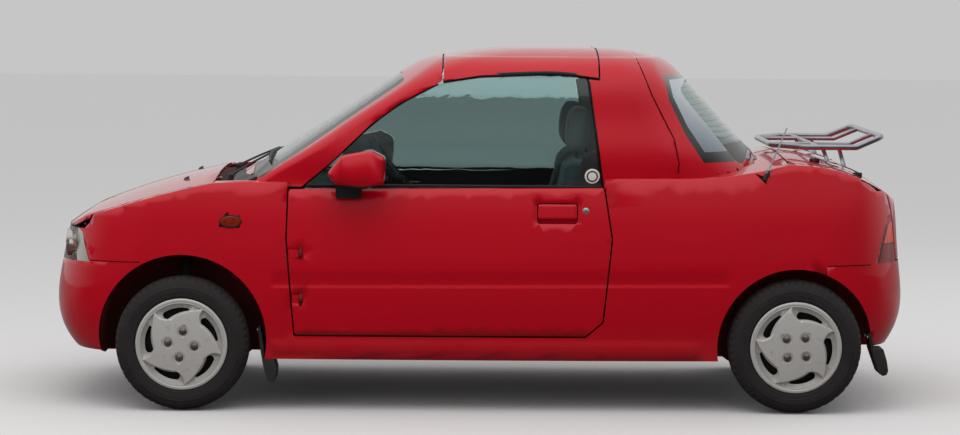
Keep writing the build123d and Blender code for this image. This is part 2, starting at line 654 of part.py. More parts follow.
# Door aperture flanges, which the doors close on, with the hinge straps, barrels and pins.
with BuildPart() as door_apertures:
    add(stacked_outlines(BODY_LEVELS, BODY_WALL + FIT, BODY_WIDEST_X))
    add(stacked_outlines(BODY_LEVELS, BODY_WALL + FIT + JAMB_THICK, BODY_WIDEST_X), mode=Mode.SUBTRACT)
    add(block_of(left_side_plane(), DOOR_OPENING, SIDE_DEPTH, grow=JAMB_LAP), mode=Mode.INTERSECT)
    add(block_of(left_side_plane(), DOOR_OPENING, SIDE_DEPTH, grow=-JAMB_LAP), mode=Mode.SUBTRACT)
    add(box_between((-800, -800, 240), (600, -200, JAMB_TOP)), mode=Mode.INTERSECT)
    add(box_between((-727, -800, 287.5), (-645, -500, 900)), mode=Mode.SUBTRACT)
    for level in DOOR_HINGE_LEVELS:
        with BuildSketch(Plane.XY.offset(level - DOOR_BARREL_HALF)):
            with BuildLine():
                Polyline((-678.5, -682.5), (-671.5, -682.5), (-685, -634), (-685, -626), (-729, -626), (-729, -612),
                         (-752, -612), (-752, -636.5),
                         (-693, -636.5), close=True)
            make_face()
            with Locations([DOOR_HINGE]):
                Circle(DOOR_BARREL)
        extrude(amount=2 * DOOR_BARREL_HALF)
        with Locations([(DOOR_HINGE[0], DOOR_HINGE[1], level)]):
            Cylinder(DOOR_PIN, 2 * DOOR_PIN_HALF)
    mirror(about=Plane.XZ)
door_apertures.part.label = "door_apertures"

# Rubber strips and buffers that the closed panels rest on.
STRIP = PANEL_GAP - FIT
STRIP_DROP = 4.0
STRIP_HIGH = 8.0
with BuildPart() as roof_strips:
    add(box_between((HEADER_SEAM_X, 75, 1262), (HEADER_SEAM_X + STRIP, 480, 1450)))
    add(box_between((HOOP_SEAM_X - STRIP, 75, 1275), (HOOP_SEAM_X, 480, 1450)))
    add(glass_shell, mode=Mode.INTERSECT)

with BuildPart() as lid_strip:
    with BuildSketch(Plane.YZ.offset(LID_FRONT_X)):
        with BuildLine():
            upper = [(y, deck_z(LID_FRONT_X, y) - STRIP_DROP - 5) for y in (120, 260, 400, 540)]
            lower = [(y, z - STRIP_HIGH) for y, z in upper]
            Polyline(*upper, *reversed(lower), close=True)
        make_face()
    extrude(amount=STRIP)

buffer_top = deck_z(BUFFER_X - BUFFER_RADIUS, BUFFER_Y + BUFFER_RADIUS) - TOP_SKIN - FIT
with BuildPart() as hood_buffer:
    with Locations([(BUFFER_X, BUFFER_Y, BUFFER_FOOT)]):
        Cylinder(BUFFER_RADIUS, buffer_top - BUFFER_FOOT, align=(Align.CENTER, Align.CENTER, Align.MIN))

with BuildPart() as weatherstrips:
    add(roof_strips.part)
    add(lid_strip.part)
    add(hood_buffer.part)
    mirror(about=Plane.XZ)
    add(box_between((1598, -250, BUMPER_SEAM_Z), (1610, 250, LID_BOTTOM + PANEL_GAP - FIT)))
weatherstrips.part.label = "weatherstrips"

# Platform
FLOOR_BOTTOM = 205.0
FLOOR_TOP = 230.0
WALL = 20.0
FIREWALL_X = -790.0
BULKHEAD_X = 880.0
BOOT_FLOOR_Z = 400.0
BOOT_FLOOR_HALF = 484.7
TUNNEL_HALF = 68.0
TUNNEL_TOP = 322.0
RAIL_Y = 300.0
RAIL_BOTTOM = 300.0
SUPPORT_X = -1555.0


def well_drum(centre, radius, inner_y):
    with BuildPart() as solid:
        with BuildSketch(Plane.XZ.offset(inner_y - WALL)):
            with Locations([centre]):
                Circle(radius + WALL)
        extrude(amount=720 - inner_y)
        mirror(about=Plane.XZ)
    return solid.part


with BuildPart() as wheel_housings:
    add(well_drum(FRONT_ARCH_CENTRE, FRONT_ARCH_RADIUS, FRONT_WELL_Y))
    add(well_drum(REAR_ARCH_CENTRE, REAR_ARCH_RADIUS, REAR_WELL_Y))
    add(front_arch, mode=Mode.SUBTRACT)
    add(rear_arch, mode=Mode.SUBTRACT)
    add(box_between((REAR_AXLE_X - 60, -520, 150), (REAR_AXLE_X + 60, 520, 330)), mode=Mode.SUBTRACT)
    add(body_inner, mode=Mode.INTERSECT)
    add(box_between((-1700, -800, SILL_BOTTOM), (1700, 800, 900)), mode=Mode.INTERSECT)
wheel_housings.part.label = "wheel_housings"

# The floor, tunnel, firewall, bulkhead, boot floor, rails and radiator support meet along spot-welded joints.
FIREWALL_BACK = FIREWALL_X + 30
BULKHEAD_BACK = BULKHEAD_X + 25
with BuildPart() as tunnel:
    add(box_between((FIREWALL_BACK + FIT, -TUNNEL_HALF, FLOOR_TOP + FIT), (BULKHEAD_X - FIT, TUNNEL_HALF, TUNNEL_TOP)))
    fillet(tunnel.edges().filter_by(Axis.X).group_by(Axis.Z)[-1], 20)

with BuildPart() as underbody:
    add(box_between((FIREWALL_BACK + FIT, -690, FLOOR_BOTTOM), (BULKHEAD_X - FIT, 690, FLOOR_TOP)))
    add(box_between((FIREWALL_X, -690, FLOOR_BOTTOM), (FIREWALL_BACK, 690, 845.5)))
    add(tunnel.part)
    add(box_between((BULKHEAD_X, -690, FLOOR_BOTTOM), (BULKHEAD_BACK, 690, 845)))
    add(box_between((BULKHEAD_BACK + FIT, -BOOT_FLOOR_HALF, BOOT_FLOOR_Z), (1500, BOOT_FLOOR_HALF, BOOT_FLOOR_Z + 25)))
    for side in (-1, 1):
        low_y, high_y = sorted((side * RAIL_Y, side * (FRONT_WELL_Y - WALL)))
        add(box_between((SUPPORT_X + 25 + FIT, low_y, RAIL_BOTTOM), (FIREWALL_X - FIT, high_y, RAIL_BOTTOM + 80)))
    add(box_between((SUPPORT_X, -400, RAIL_BOTTOM), (SUPPORT_X + 25, 400, 640)))
    add(body_inner, mode=Mode.INTERSECT)
    add(well_drum(FRONT_ARCH_CENTRE, FRONT_ARCH_RADIUS, FRONT_WELL_Y), mode=Mode.SUBTRACT)
    add(well_drum(REAR_ARCH_CENTRE, REAR_ARCH_RADIUS, REAR_WELL_Y), mode=Mode.SUBTRACT)
    add(door_apertures.part, mode=Mode.SUBTRACT)
underbody.part.label = "underbody"

with BuildPart() as engine:
    add(box_between((-1420, -RAIL_Y, RAIL_BOTTOM), (-980, RAIL_Y, 690)))
    chamfer(engine.edges().filter_by(Axis.Y).group_by(Axis.Z)[-1], 40)
    with Locations([(-1210, -90, 690)]):
        Cylinder(105, 55, align=(Align.CENTER, Align.CENTER, Align.MIN))
    fillet(engine.edges().group_by(Axis.Z)[-1], 12)
engine.part.label = "engine"

with BuildPart() as fuel_tank:
    add(box_between((BULKHEAD_X + 25, -380, 255), (1120, 380, BOOT_FLOOR_Z)))
    fillet(fuel_tank.edges().group_by(Axis.Z)[0], 25)
fuel_tank.part.label = "fuel_tank"

PIPE_RADIUS = 19.0
PIPE_Y = 140.0
with BuildPart() as exhaust:
    with BuildLine(Plane.XZ.offset(-PIPE_Y)) as pipe_path:
        FilletPolyline((-930, 186), (1250, 186), (1370, 300), radius=60)
    with BuildSketch(Plane(origin=pipe_path.line @ 0, z_dir=pipe_path.line % 0)):
        Circle(PIPE_RADIUS)
    sweep(path=pipe_path.line)
    with BuildLine(Plane.XZ.offset(-PIPE_Y)) as tail_path:
        FilletPolyline((1420, 300), (1500, 224), (1600, 224), radius=40)
    with BuildSketch(Plane(origin=tail_path.line @ 0, z_dir=tail_path.line % 0)):
        Circle(PIPE_RADIUS)
    sweep(path=tail_path.line)
    with BuildSketch(Plane.XZ.offset(-340)):
        with Locations([(1400, BOOT_FLOOR_Z - 72)]):
            Circle(72)
    extrude(amount=380)
exhaust.part.label = "exhaust"

# wheels and running gear
HUB_FACE = 10.0
HUB_END = 0.3
KINGPIN_FOOT = (560.0, 150.0)
KINGPIN_TOP = (450.0, 620.0)
STEER_TILT = atan2(KINGPIN_FOOT[0] - KINGPIN_TOP[0], KINGPIN_TOP[1] - KINGPIN_FOOT[1])


def wheel_plane(x, side):
    # sketch x along the radius, sketch y outwards from the car
    return Plane(origin=(x, side * TRACK_HALF, TYRE_RADIUS), x_dir=(0, 0, 1), z_dir=(-side, 0, 0))


def tyre_at(x, side):
    half = TYRE_WIDTH / 2
    with BuildPart() as solid:
        with BuildSketch(wheel_plane(x, side)):
            with BuildLine():
                Polyline((RIM_RADIUS, half - 12), (RIM_RADIUS + 16, half - 11.5))
                ThreePointArc((RIM_RADIUS + 16, half - 11.5), (RIM_RADIUS + 50, half), (TYRE_RADIUS - 12, half - 10))
                ThreePointArc((TYRE_RADIUS - 12, half - 10), (TYRE_RADIUS - 4, half - 15),
                              (TYRE_RADIUS - 1, half - 23))
                ThreePointArc((TYRE_RADIUS - 1, half - 23), (TYRE_RADIUS, 0), (TYRE_RADIUS - 1, 23 - half))
                ThreePointArc((TYRE_RADIUS - 1, 23 - half), (TYRE_RADIUS - 4, 15 - half),
                              (TYRE_RADIUS - 12, 10 - half))
                ThreePointArc((TYRE_RADIUS - 12, 10 - half), (RIM_RADIUS + 50, -half),
                              (RIM_RADIUS + 16, 11.5 - half))
                Polyline((RIM_RADIUS + 16, 11.5 - half), (RIM_RADIUS, 12 - half), (RIM_RADIUS, half - 12))
            make_face()
        revolve(axis=Axis((x, 0, TYRE_RADIUS), (0, 1, 0)))
    return solid.part


# Wheel cover seen from the side of the car: (radius, distance outwards from the tyre's middle)
COVER_LIP = [(RIM_RADIUS, 61.3), (COVER_RADIUS, 61.6), (COVER_RADIUS, 66), (COVER_RADIUS - 2, 68), (164, 69),
             (161, 68.5), (159, 66), (156, 68.5)]
COVER_DOME = (80, 76.6)
COVER_TOP = 79.0
COVER_CENTRE = (8, COVER_TOP)
COVER_BACK = 58.0
COVER_SHELF = 62.5
SLOT_COUNT = 5
NUT_COUNT = 4
NUT_CIRCLE = 50.0
NUT_BALL = 17.0
NUT_ANGLE = 37.5
# Corners of one swirl slot and of the shelf around it: (radius, degrees from the slot's round end)
SLOT_ARCS = [
    ((136, 0), (138, -18.5), (138, -37)),
    ((138, -37), (133, -39.2), (128, -37)),
    ((128, -37), (116, -18.5), (107, 0)),
    ((107, 0), (121.5, 6.9), (136, 0)),
]
SHELF_ARCS = [
    ((155, 13), (155, -22), (155, -58)),
    ((155, -58), (118, -31), (103, -2)),
    ((103, -2), (120, 11), (155, 13)),
]


def polar(radius, angle):
    return (radius * cos(radians(angle)), radius * sin(radians(angle)))


def cover_plane(out):
    # a plane across the axle, seen from outside the car with +X of the sketch to the right
    return Plane(origin=(0, -out, 0), x_dir=(1, 0, 0), z_dir=(0, -1, 0))


# One wheel about its own axle, its outside towards -Y
with BuildPart() as wheel_pattern:
    with BuildSketch(Plane(origin=(0, 0, 0), x_dir=(0, 0, 1), z_dir=(1, 0, 0))):
        with BuildLine():
            Polyline((0, -HUB_FACE), (60, -HUB_FACE), (72, 14), (128, 26), (146, 18), (146, -62),
                     (RIM_RADIUS, -62), COVER_LIP[0])
            Polyline(*COVER_LIP)
            ThreePointArc(COVER_LIP[-1], COVER_DOME, COVER_CENTRE)
            Polyline(COVER_CENTRE, (0, COVER_TOP), (0, 74), (94, 70), (98, COVER_BACK), (146, COVER_BACK), (146, 24),
                     (128, 34), (68, 22), (56, 0), (0, 0), (0, -HUB_FACE))
        make_face()
    revolve(axis=Axis((0, 0, 0), (0, 1, 0)))
    for turn in range(NUT_COUNT):
        place = polar(NUT_CIRCLE, NUT_ANGLE + 360 / NUT_COUNT * turn)
        with BuildSketch(cover_plane(COVER_TOP - 3)):
            with Locations([place]):
                Circle(NUT_BALL + 4)
        extrude(amount=10, mode=Mode.SUBTRACT)
        with Locations([cover_plane(COVER_TOP - 10) * Location((place[0], place[1], 0))]):
            Sphere(NUT_BALL)
    for arcs, out, depth in ((SHELF_ARCS, COVER_SHELF, 40), (SLOT_ARCS, COVER_BACK - 6, 30)):
        for turn in range(SLOT_COUNT):
            start = 360 / SLOT_COUNT * turn
            with BuildSketch(cover_plane(out)):
                with BuildLine():
                    for arc in arcs:
                        ThreePointArc(*(polar(radius, start + angle) for radius, angle in arc))
                make_face()
            extrude(amount=depth, mode=Mode.SUBTRACT)


def knuckle_at(side):
    foot_y, foot_z = KINGPIN_FOOT
    lean = (0, -side * sin(STEER_TILT), cos(STEER_TILT))
    low = 26 / cos(STEER_TILT)
    with BuildPart() as solid:
        with BuildSketch(Plane(origin=(FRONT_AXLE_X, side * foot_y, foot_z), z_dir=lean).offset(low)):
            Circle(22)
        extrude(amount=(566 - foot_z) / cos(STEER_TILT) - low)
        with BuildSketch(Plane(origin=(FRONT_AXLE_X, side * 512, TYRE_RADIUS), z_dir=(0, side, 0))):
            Circle(46)
        extrude(amount=TRACK_HALF - HUB_FACE - HUB_END - 512)
        with BuildSketch(Plane(origin=(FRONT_AXLE_X, side * 566, TYRE_RADIUS), z_dir=(0, side, 0))):
            Circle(84)
        extrude(amount=14)
    return solid.part


# tag, axle x, side, degrees that the wheel is turned about its axle
WHEEL_PLACES = [
    ("fl", FRONT_AXLE_X, -1, 44.5),
    ("fr", FRONT_AXLE_X, 1, 44.5),
    ("rl", REAR_AXLE_X, -1, 11),
    ("rr", REAR_AXLE_X, 1, 11),
]

with BuildPart() as front_suspension:
    add(box_between((-1210, -250, 165), (-1035, 250, RAIL_BOTTOM)))
    for side in (-1, 1):
        low_y, high_y = sorted((side * 250, side * 577))
        add(box_between((FRONT_AXLE_X - 22, low_y, 140), (FRONT_AXLE_X + 22, high_y, 163)))
        inner = sorted((side * 200, side * 250))
        add(box_between((FRONT_AXLE_X - 60, inner[0], 140), (FRONT_AXLE_X + 60, inner[1], 166)))
front_suspension.part.label = "front_suspension"

with BuildPart() as rear_axle:
    add(box_between((REAR_AXLE_X - 24, -520, 230), (REAR_AXLE_X + 24, 520, 278)))
    for side in (-1, 1):
        low_y, high_y = sorted((side * 430, side * 465))
        add(box_between((BULKHEAD_X + 25, low_y, 207), (REAR_AXLE_X + 24, high_y, 250)))
        with BuildSketch(Plane(origin=(REAR_AXLE_X, side * 510, TYRE_RADIUS), z_dir=(0, side, 0))):
            Circle(46)
        extrude(amount=TRACK_HALF - HUB_FACE - HUB_END - 510)
        with BuildSketch(Plane(origin=(REAR_AXLE_X, side * 556, TYRE_RADIUS), z_dir=(0, side, 0))):
            Circle(105)
        extrude(amount=30)
rear_axle.part.label = "rear_axle"

# low_x, high_x, low_z, high_z, outer_y
MUDFLAPS = [(-810, -800, 112, 197.7, 650), (1486, 1496, 150, 246.7, 606)]
with BuildPart() as mudflaps:
    for low_x, high_x, low_z, high_z, outer_y in MUDFLAPS:
        for side in (-1, 1):
            low_y, high_y = sorted((side * 520, side * outer_y))
            add(box_between((low_x, low_y, low_z), (high_x, high_y, high_z)))
mudflaps.part.label = "mudflaps"

# cabin furniture
SEAT_Y = 300.0


def seat_at(side):
    with BuildPart() as solid:
        with BuildSketch(Plane.XZ.offset(-side * SEAT_Y + 225)):
            with BuildLine():
                Polyline((-170, 330), (-190, 450), (-120, 482), (255, 440), (335, 985), (445, 960), (400, 400),
                         (330, 330), close=True)
            make_face()
            fillet(vertices(), 22)
        extrude(amount=-450)
        with BuildSketch(Plane.XZ.offset(-side * SEAT_Y + 125)):
            with BuildLine():
                Polyline((345, 960), (322, 1010), (330, 1130), (352, 1147), (405, 1140), (420, 1010), (420, 950),
                         close=True)
            make_face()
            fillet(vertices(), 12)
        extrude(amount=-250)
        add(box_between((-130, side * SEAT_Y - 180, FLOOR_TOP), (280, side * SEAT_Y + 180, 332)))
    return solid.part


with BuildPart() as front_seats:
    add(seat_at(-1))
    add(seat_at(1))
front_seats.part.label = "front_seats"

with BuildPart() as rear_seat:
    with BuildSketch(Plane.XZ.offset(480)):
        with BuildLine():
            Polyline((560, 230), (560, 470), (610, 490), (790, 450), (800, 800), (880, 800), (880, 230), close=True)
        make_face()
        fillet(vertices().group_by(Axis.Y)[1:], 20)
    extrude(amount=-960)
    add(underbody.part, mode=Mode.SUBTRACT)
rear_seat.part.label = "rear_seat"

DASH_HALF = 570.0

STEER_CENTRE = (-342.0, 300.0, 838.0)
STEER_AXIS = (0.838, 0.0, 0.545)
STEER_RING = 172.0
steer_plane = Plane(origin=STEER_CENTRE, x_dir=(0, 1, 0), z_dir=STEER_AXIS)
with BuildPart() as steering_wheel:
    with BuildSketch(Plane(origin=steer_plane.from_local_coords((STEER_RING, 0, 0)), x_dir=STEER_AXIS,
                           z_dir=steer_plane.y_dir)):
        Circle(14)
    revolve(axis=Axis(STEER_CENTRE, STEER_AXIS))
    with BuildSketch(steer_plane.offset(-26)):
        Circle(62)
    extrude(amount=36)
    with BuildSketch(steer_plane.offset(-8)):
        with PolarLocations(110, 3, start_angle=-90):
            Rectangle(118, 34)
    extrude(amount=14)
steering_wheel.part.label = "steering_wheel"

with BuildPart() as dashboard:
    with BuildSketch(Plane.XZ.offset(DASH_HALF)):
        with BuildLine():
            Polyline((FIREWALL_X + 30, 600), (-560, 600), (-490, 680), (-505, 800), (-560, 846),
                     (FIREWALL_X + 30, 846), close=True)
        make_face()
        fillet(vertices().sort_by(Axis.X)[-4:], 24)
    extrude(amount=-2 * DASH_HALF)
    with BuildSketch(steer_plane.offset(-200)):
        Circle(30)
    extrude(amount=200 - 26 - 0.5)
dashboard.part.label = "dashboard"

# fittings on doors and lid
mirror_profile = [(-575, 905), (-520, 972), (-410, 992), (-358, 965), (-362, 868), (-440, 848), (-540, 866)]
with BuildPart() as mirror_left:
    with BuildSketch(Plane.XZ.offset(668)):
        with BuildLine():
            Polyline(*mirror_profile, close=True)
        make_face()
        fillet(vertices(), 18)
    extrude(amount=130)
    chamfer(mirror_left.faces().sort_by(Axis.Y)[0].edges(), 22, 12)
    with BuildSketch(Plane.YZ.offset(-362.5)):
        with Locations([(-728, 917)]):
            RectangleRounded(98, 78, 16)
    extrude(amount=20, mode=Mode.SUBTRACT)
    add(box_between((-545, -690, 808), (-450, -640, 900)))
    add(door_left.part, mode=Mode.SUBTRACT)
    add(door_glass_left.part, mode=Mode.SUBTRACT)
mirror_left.part.label = "mirror_left"
with BuildPart() as mirror_right:
    add(mirrored(mirror_left.part))
mirror_right.part.label = "mirror_right"

ANTENNA_FOOT = (1064, -618, 880)
ANTENNA_LEAN = (0.38, 0, 0.92)
with BuildPart() as antenna:
    with BuildSketch(Plane(origin=ANTENNA_FOOT, z_dir=ANTENNA_LEAN)):
        Circle(13)
    extrude(amount=46, taper=7)
    with BuildSketch(Plane(origin=ANTENNA_FOOT, z_dir=ANTENNA_LEAN)):
        Circle(3)
    extrude(amount=215)
    add(quarter_left.part, mode=Mode.SUBTRACT)
antenna.part.label = "antenna"

RACK_TUBE = 11.0
RACK_Y = 430.0
RACK_INNER_Y = 205.0
RACK_TOP = 997.0
RACK_FRONT_X = 1129.0
RACK_REAR_X = 1535.0
RACK_KICK = 41.0
RACK_BAR_X = 1290.0
# The outer loop on the left side, from the front bow to the raised rear bar: (x, y, z)
RACK_LOOP = [
    (RACK_FRONT_X, -260, RACK_TOP),
    (1236, -RACK_Y, RACK_TOP),
    (1436, -RACK_Y, RACK_TOP),
    (RACK_REAR_X, 20 - RACK_Y, RACK_TOP + RACK_KICK),
]
# Legs: x at the tube, x at the foot rail
RACK_LEGS = [(1305, 1327), (1368, 1390)]
FOOT_RAIL_X = [1258, 1312, 1360, 1411, 1457]
FOOT_PADS = [(1258, 1293), (1423, 1457)]
FOOT_LIFT = 9.0
FOOT_STRIP = 5.0
FOOT_HALF = 13.0


def tube(points, radius, bend, close=False):
    with BuildPart() as solid:
        with BuildLine() as path:
            FilletPolyline(*points, radius=bend, close=close)
        with BuildSketch(Plane(origin=path.line @ 0, z_dir=path.line % 0)):
            Circle(radius)
        sweep(path=path.line)
    return solid.part


with BuildPart() as luggage_rack:
    add(tube(RACK_LOOP + [(x, -y, z) for x, y, z in reversed(RACK_LOOP)], RACK_TUBE, 34, close=True))
    for side in (-1, 1):
        y = side * RACK_INNER_Y
        add(tube([(RACK_FRONT_X, y, RACK_TOP), (1436, y, RACK_TOP), (RACK_REAR_X, y, RACK_TOP + RACK_KICK)],
                 RACK_TUBE - 3, 30))
        y = side * RACK_Y
        for top_x, foot_x in RACK_LEGS:
            foot_z = deck_z(foot_x, y) + FOOT_LIFT
            with BuildLine() as leg:
                Line((top_x, y, RACK_TOP), (foot_x, y, foot_z))
            with BuildSketch(Plane(origin=leg.line @ 0, z_dir=leg.line % 0)):
                Circle(8)
            sweep(path=leg.line)
        with BuildSketch(Plane.XZ.offset(-y - FOOT_HALF)):
            with BuildLine():
                lower = [(x, deck_z(x, y) + FOOT_LIFT) for x in FOOT_RAIL_X]
                upper = [(x, z + FOOT_STRIP) for x, z in lower]
                Polyline(*lower, *reversed(upper), close=True)
            make_face()
        extrude(amount=2 * FOOT_HALF)
        for low_x, high_x in FOOT_PADS:
            top = deck_z((low_x + high_x) / 2, y) + FOOT_LIFT
            add(box_between((low_x, y - FOOT_HALF - 2, top - 40), (high_x, y + FOOT_HALF + 2, top)))
    add(cross_cylinder((RACK_BAR_X, RACK_TOP), RACK_TUBE - 2, -RACK_Y, RACK_Y))
    add(body_outer, mode=Mode.SUBTRACT)
luggage_rack.part.label = "luggage_rack"

NODES = [hood, trunk_lid, door_left, door_right, headlights, tail_lights, front_bumper,
         front_fenders, cowl, rear_bumper, quarter_left, quarter_right, windshield, rear_window,
         windshield_frame, door_glass_left, door_glass_right, roof_panel_left, roof_panel_right,
         roof_hoop, rear_canopy, underbody, engine, fuel_tank, exhaust, front_suspension, rear_axle,
         mudflaps, front_seats, rear_seat, dashboard, steering_wheel, mirror_left,
         mirror_right, antenna, luggage_rack, side_markers, front_grille, door_apertures, weatherstrips,
         wheel_housings]
for tag, x, side, turned in WHEEL_PLACES:
    with BuildPart() as tyre:
        add(tyre_at(x, side))
    tyre.part.label = f"tyre_{tag}"
    place = Location((x, side * TRACK_HALF, TYRE_RADIUS), (0, 0, 90 + side * 90))
    with BuildPart() as wheel:
        add(wheel_pattern.part.moved(place * Location((0, 0, 0), (0, -turned, 0))))
    wheel.part.label = f"wheel_{tag}"
    NODES += [tyre, wheel]
for tag, side in (("left", -1), ("right", 1)):
    with BuildPart() as knuckle:
        add(knuckle_at(side))
    knuckle.part.label = f"knuckle_{tag}"
    NODES += [knuckle]

for node in NODES:
    export_step(node.part, f"parts/{node.part.label}.step")
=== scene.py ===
import json
from math import atan2, cos, pi, radians, sin

import bmesh
import bpy
from mathutils import Matrix, Vector
from mathutils.bvhtree import BVHTree


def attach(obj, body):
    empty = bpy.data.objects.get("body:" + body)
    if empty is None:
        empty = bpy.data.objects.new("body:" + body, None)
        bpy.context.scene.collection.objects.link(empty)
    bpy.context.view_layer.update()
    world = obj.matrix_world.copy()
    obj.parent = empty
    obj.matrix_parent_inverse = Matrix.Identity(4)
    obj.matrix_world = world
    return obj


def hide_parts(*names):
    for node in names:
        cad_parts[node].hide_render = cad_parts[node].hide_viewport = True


bl_info = {
    "name": "Kei car dressing",
    "version": (1, 0, 0),
    "blender": (4, 5, 0),
    "location": "View3D > Sidebar > Kei Car",
    "description": "Paints, glazes and trims the packed kei car and sets up its studio",
    "category": "Object",
}

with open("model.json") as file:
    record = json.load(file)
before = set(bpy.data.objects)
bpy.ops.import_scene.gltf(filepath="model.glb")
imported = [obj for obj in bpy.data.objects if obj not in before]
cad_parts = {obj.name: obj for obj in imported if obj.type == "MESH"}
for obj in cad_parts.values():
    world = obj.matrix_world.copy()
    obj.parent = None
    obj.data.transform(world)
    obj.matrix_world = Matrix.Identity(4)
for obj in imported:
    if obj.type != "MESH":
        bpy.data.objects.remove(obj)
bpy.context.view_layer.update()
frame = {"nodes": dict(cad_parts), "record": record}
NODES = frame["nodes"]
BODY_OF = {node: body for body, members in frame["record"]["behaviour"]["bodies"].items() for node in members}

FRONT_AXLE = Vector((-1.1225, 0.0, 0.254))
REAR_AXLE = Vector((1.1875, 0.0, 0.254))
TRACK_HALF = 0.605
# name, direction in Y
SIDES = (("left", -1), ("right", 1))
# tyre node, wheel body, axle, side
WHEELS = [
    ("tyre_fl", "wheel_front_left", FRONT_AXLE, -1),
    ("tyre_fr", "wheel_front_right", FRONT_AXLE, 1),
    ("tyre_rl", "wheel_rear_left", REAR_AXLE, -1),
    ("tyre_rr", "wheel_rear_right", REAR_AXLE, 1),
]


def srgb(red, green, blue, alpha=1.0):
    """A colour read as 0 to 255 screen values, as the linear colour that a shader takes."""
    values = [channel / 255 for channel in (red, green, blue)]
    linear = [v / 12.92 if v <= 0.04045 else ((v + 0.055) / 1.055) ** 2.4 for v in values]
    return (*linear, alpha)


def darker(colour, share):
    return tuple(channel * share for channel in colour[:3]) + (1.0,)


class KeiCarColours(bpy.types.PropertyGroup):
    """Colours of the dressed car."""

    paint: bpy.props.FloatVectorProperty(
        name="Paint", description="Colour of the outer panels", subtype="COLOR", size=4,
        min=0, max=1, default=srgb(188, 4, 28))
    glass: bpy.props.FloatVectorProperty(
        name="Glass", description="Tint of the window glass", subtype="COLOR", size=4,
        min=0, max=1, default=srgb(206, 230, 228))
    rubber: bpy.props.FloatVectorProperty(
        name="Rubber", description="Colour of seals and mudflaps", subtype="COLOR", size=4,
        min=0, max=1, default=srgb(22, 22, 23))
    tyre: bpy.props.FloatVectorProperty(
        name="Tyre", description="Colour of the tyre walls", subtype="COLOR", size=4,
        min=0, max=1, default=srgb(33, 31, 31))
    cover: bpy.props.FloatVectorProperty(
        name="Wheel cover", description="Colour of the wheel covers", subtype="COLOR", size=4,
        min=0, max=1, default=srgb(214, 212, 208))
    cloth: bpy.props.FloatVectorProperty(
        name="Seat cloth", description="Colour of the seat cloth", subtype="COLOR", size=4,
        min=0, max=1, default=srgb(128, 130, 134))
    lining: bpy.props.FloatVectorProperty(
        name="Lining", description="Colour of the roof lining and pillar trim", subtype="COLOR", size=4,
        min=0, max=1, default=srgb(176, 160, 138))


class KeiCarSizes(bpy.types.PropertyGroup):
    """Sizes of the added detail."""

    seal_radius: bpy.props.FloatProperty(
        name="Seal radius", description="Radius of the rubber seals round the side windows",
        default=0.0065, min=0.002, max=0.012, unit="LENGTH")
    tread_depth: bpy.props.FloatProperty(
        name="Tread depth", description="Depth of the grooves in the tyres",
        default=0.0055, min=0.001, max=0.009, unit="LENGTH")
    tread_blocks: bpy.props.IntProperty(
        name="Tread blocks", description="Number of tread blocks round a tyre", default=56, min=20, max=90)
    lamp_power: bpy.props.FloatProperty(
        name="Lamp power", description="Power of the overhead studio lamp", default=120, min=0, unit="POWER")


# Shader node helpers


def known(build):
    """Builds a material or node group the first time that it is asked for and hands the same one out afterwards."""
    made = {}

    def ask(*values):
        if values not in made:
            made[values] = build(*values)
        return made[values]

    return ask


def feed(tree, source, target):
    if isinstance(source, bpy.types.NodeSocket):
        tree.links.new(source, target)
    else:
        target.default_value = source


def calc(tree, operation, first, second=0.0, third=0.0, clamp=False):
    node = tree.nodes.new("ShaderNodeMath")
    node.operation = operation
    node.use_clamp = clamp
    for value, socket in zip((first, second, third), node.inputs):
        feed(tree, value, socket)
    return node.outputs[0]


def ramp(tree, value, low, high, start=0.0, end=1.0):
    node = tree.nodes.new("ShaderNodeMapRange")
    node.interpolation_type = "SMOOTHSTEP"
    for source, socket in zip((value, low, high, start, end), node.inputs):
        feed(tree, source, socket)
    return node.outputs[0]


def between(tree, value, rising, falling):
    """Rises from 0 to 1 over the first range and falls back over the second."""
    return calc(tree, "MULTIPLY", ramp(tree, value, *rising), ramp(tree, value, *falling, 1.0, 0.0))


def wave(tree, value, length):
    """A sine of one turn for each length of value."""
    return calc(tree, "SINE", calc(tree, "MULTIPLY", value, 2 * pi / length))


def mix_colour(tree, factor, first, second):
    node = tree.nodes.new("ShaderNodeMix")
    node.data_type = "RGBA"
    feed(tree, factor, node.inputs[0])
    feed(tree, first, node.inputs[6])
    feed(tree, second, node.inputs[7])
    return node.outputs[2]


def object_point(tree):
    return tree.nodes.new("ShaderNodeTexCoord").outputs["Object"]


def separate(tree, vector):
    node = tree.nodes.new("ShaderNodeSeparateXYZ")
    feed(tree, vector, node.inputs[0])
    return node.outputs


def noise(tree, vector, scale, detail, roughness):
    node = tree.nodes.new("ShaderNodeTexNoise")
    feed(tree, vector, node.inputs["Vector"])
    feed(tree, scale, node.inputs["Scale"])
    node.inputs["Detail"].default_value = detail
    node.inputs["Roughness"].default_value = roughness
    return node.outputs[0]


def place_group(tree, group, **values):
    node = tree.nodes.new("ShaderNodeGroup")
    node.node_tree = group
    for name, value in values.items():
        feed(tree, value, node.inputs[name.replace("_", " ").capitalize()])
    return node.outputs


def start_group(name, inputs, outputs):
    group = bpy.data.node_groups.new(name, "ShaderNodeTree")
    for socket, default in inputs:
        kind = "NodeSocketVector" if isinstance(default, tuple) else "NodeSocketFloat"
        group.interface.new_socket(socket, in_out="INPUT", socket_type=kind).default_value = default
    for socket in outputs:
        group.interface.new_socket(socket, in_out="OUTPUT", socket_type="NodeSocketFloat")
    return group, group.nodes.new("NodeGroupInput").outputs, group.nodes.new("NodeGroupOutput").inputs


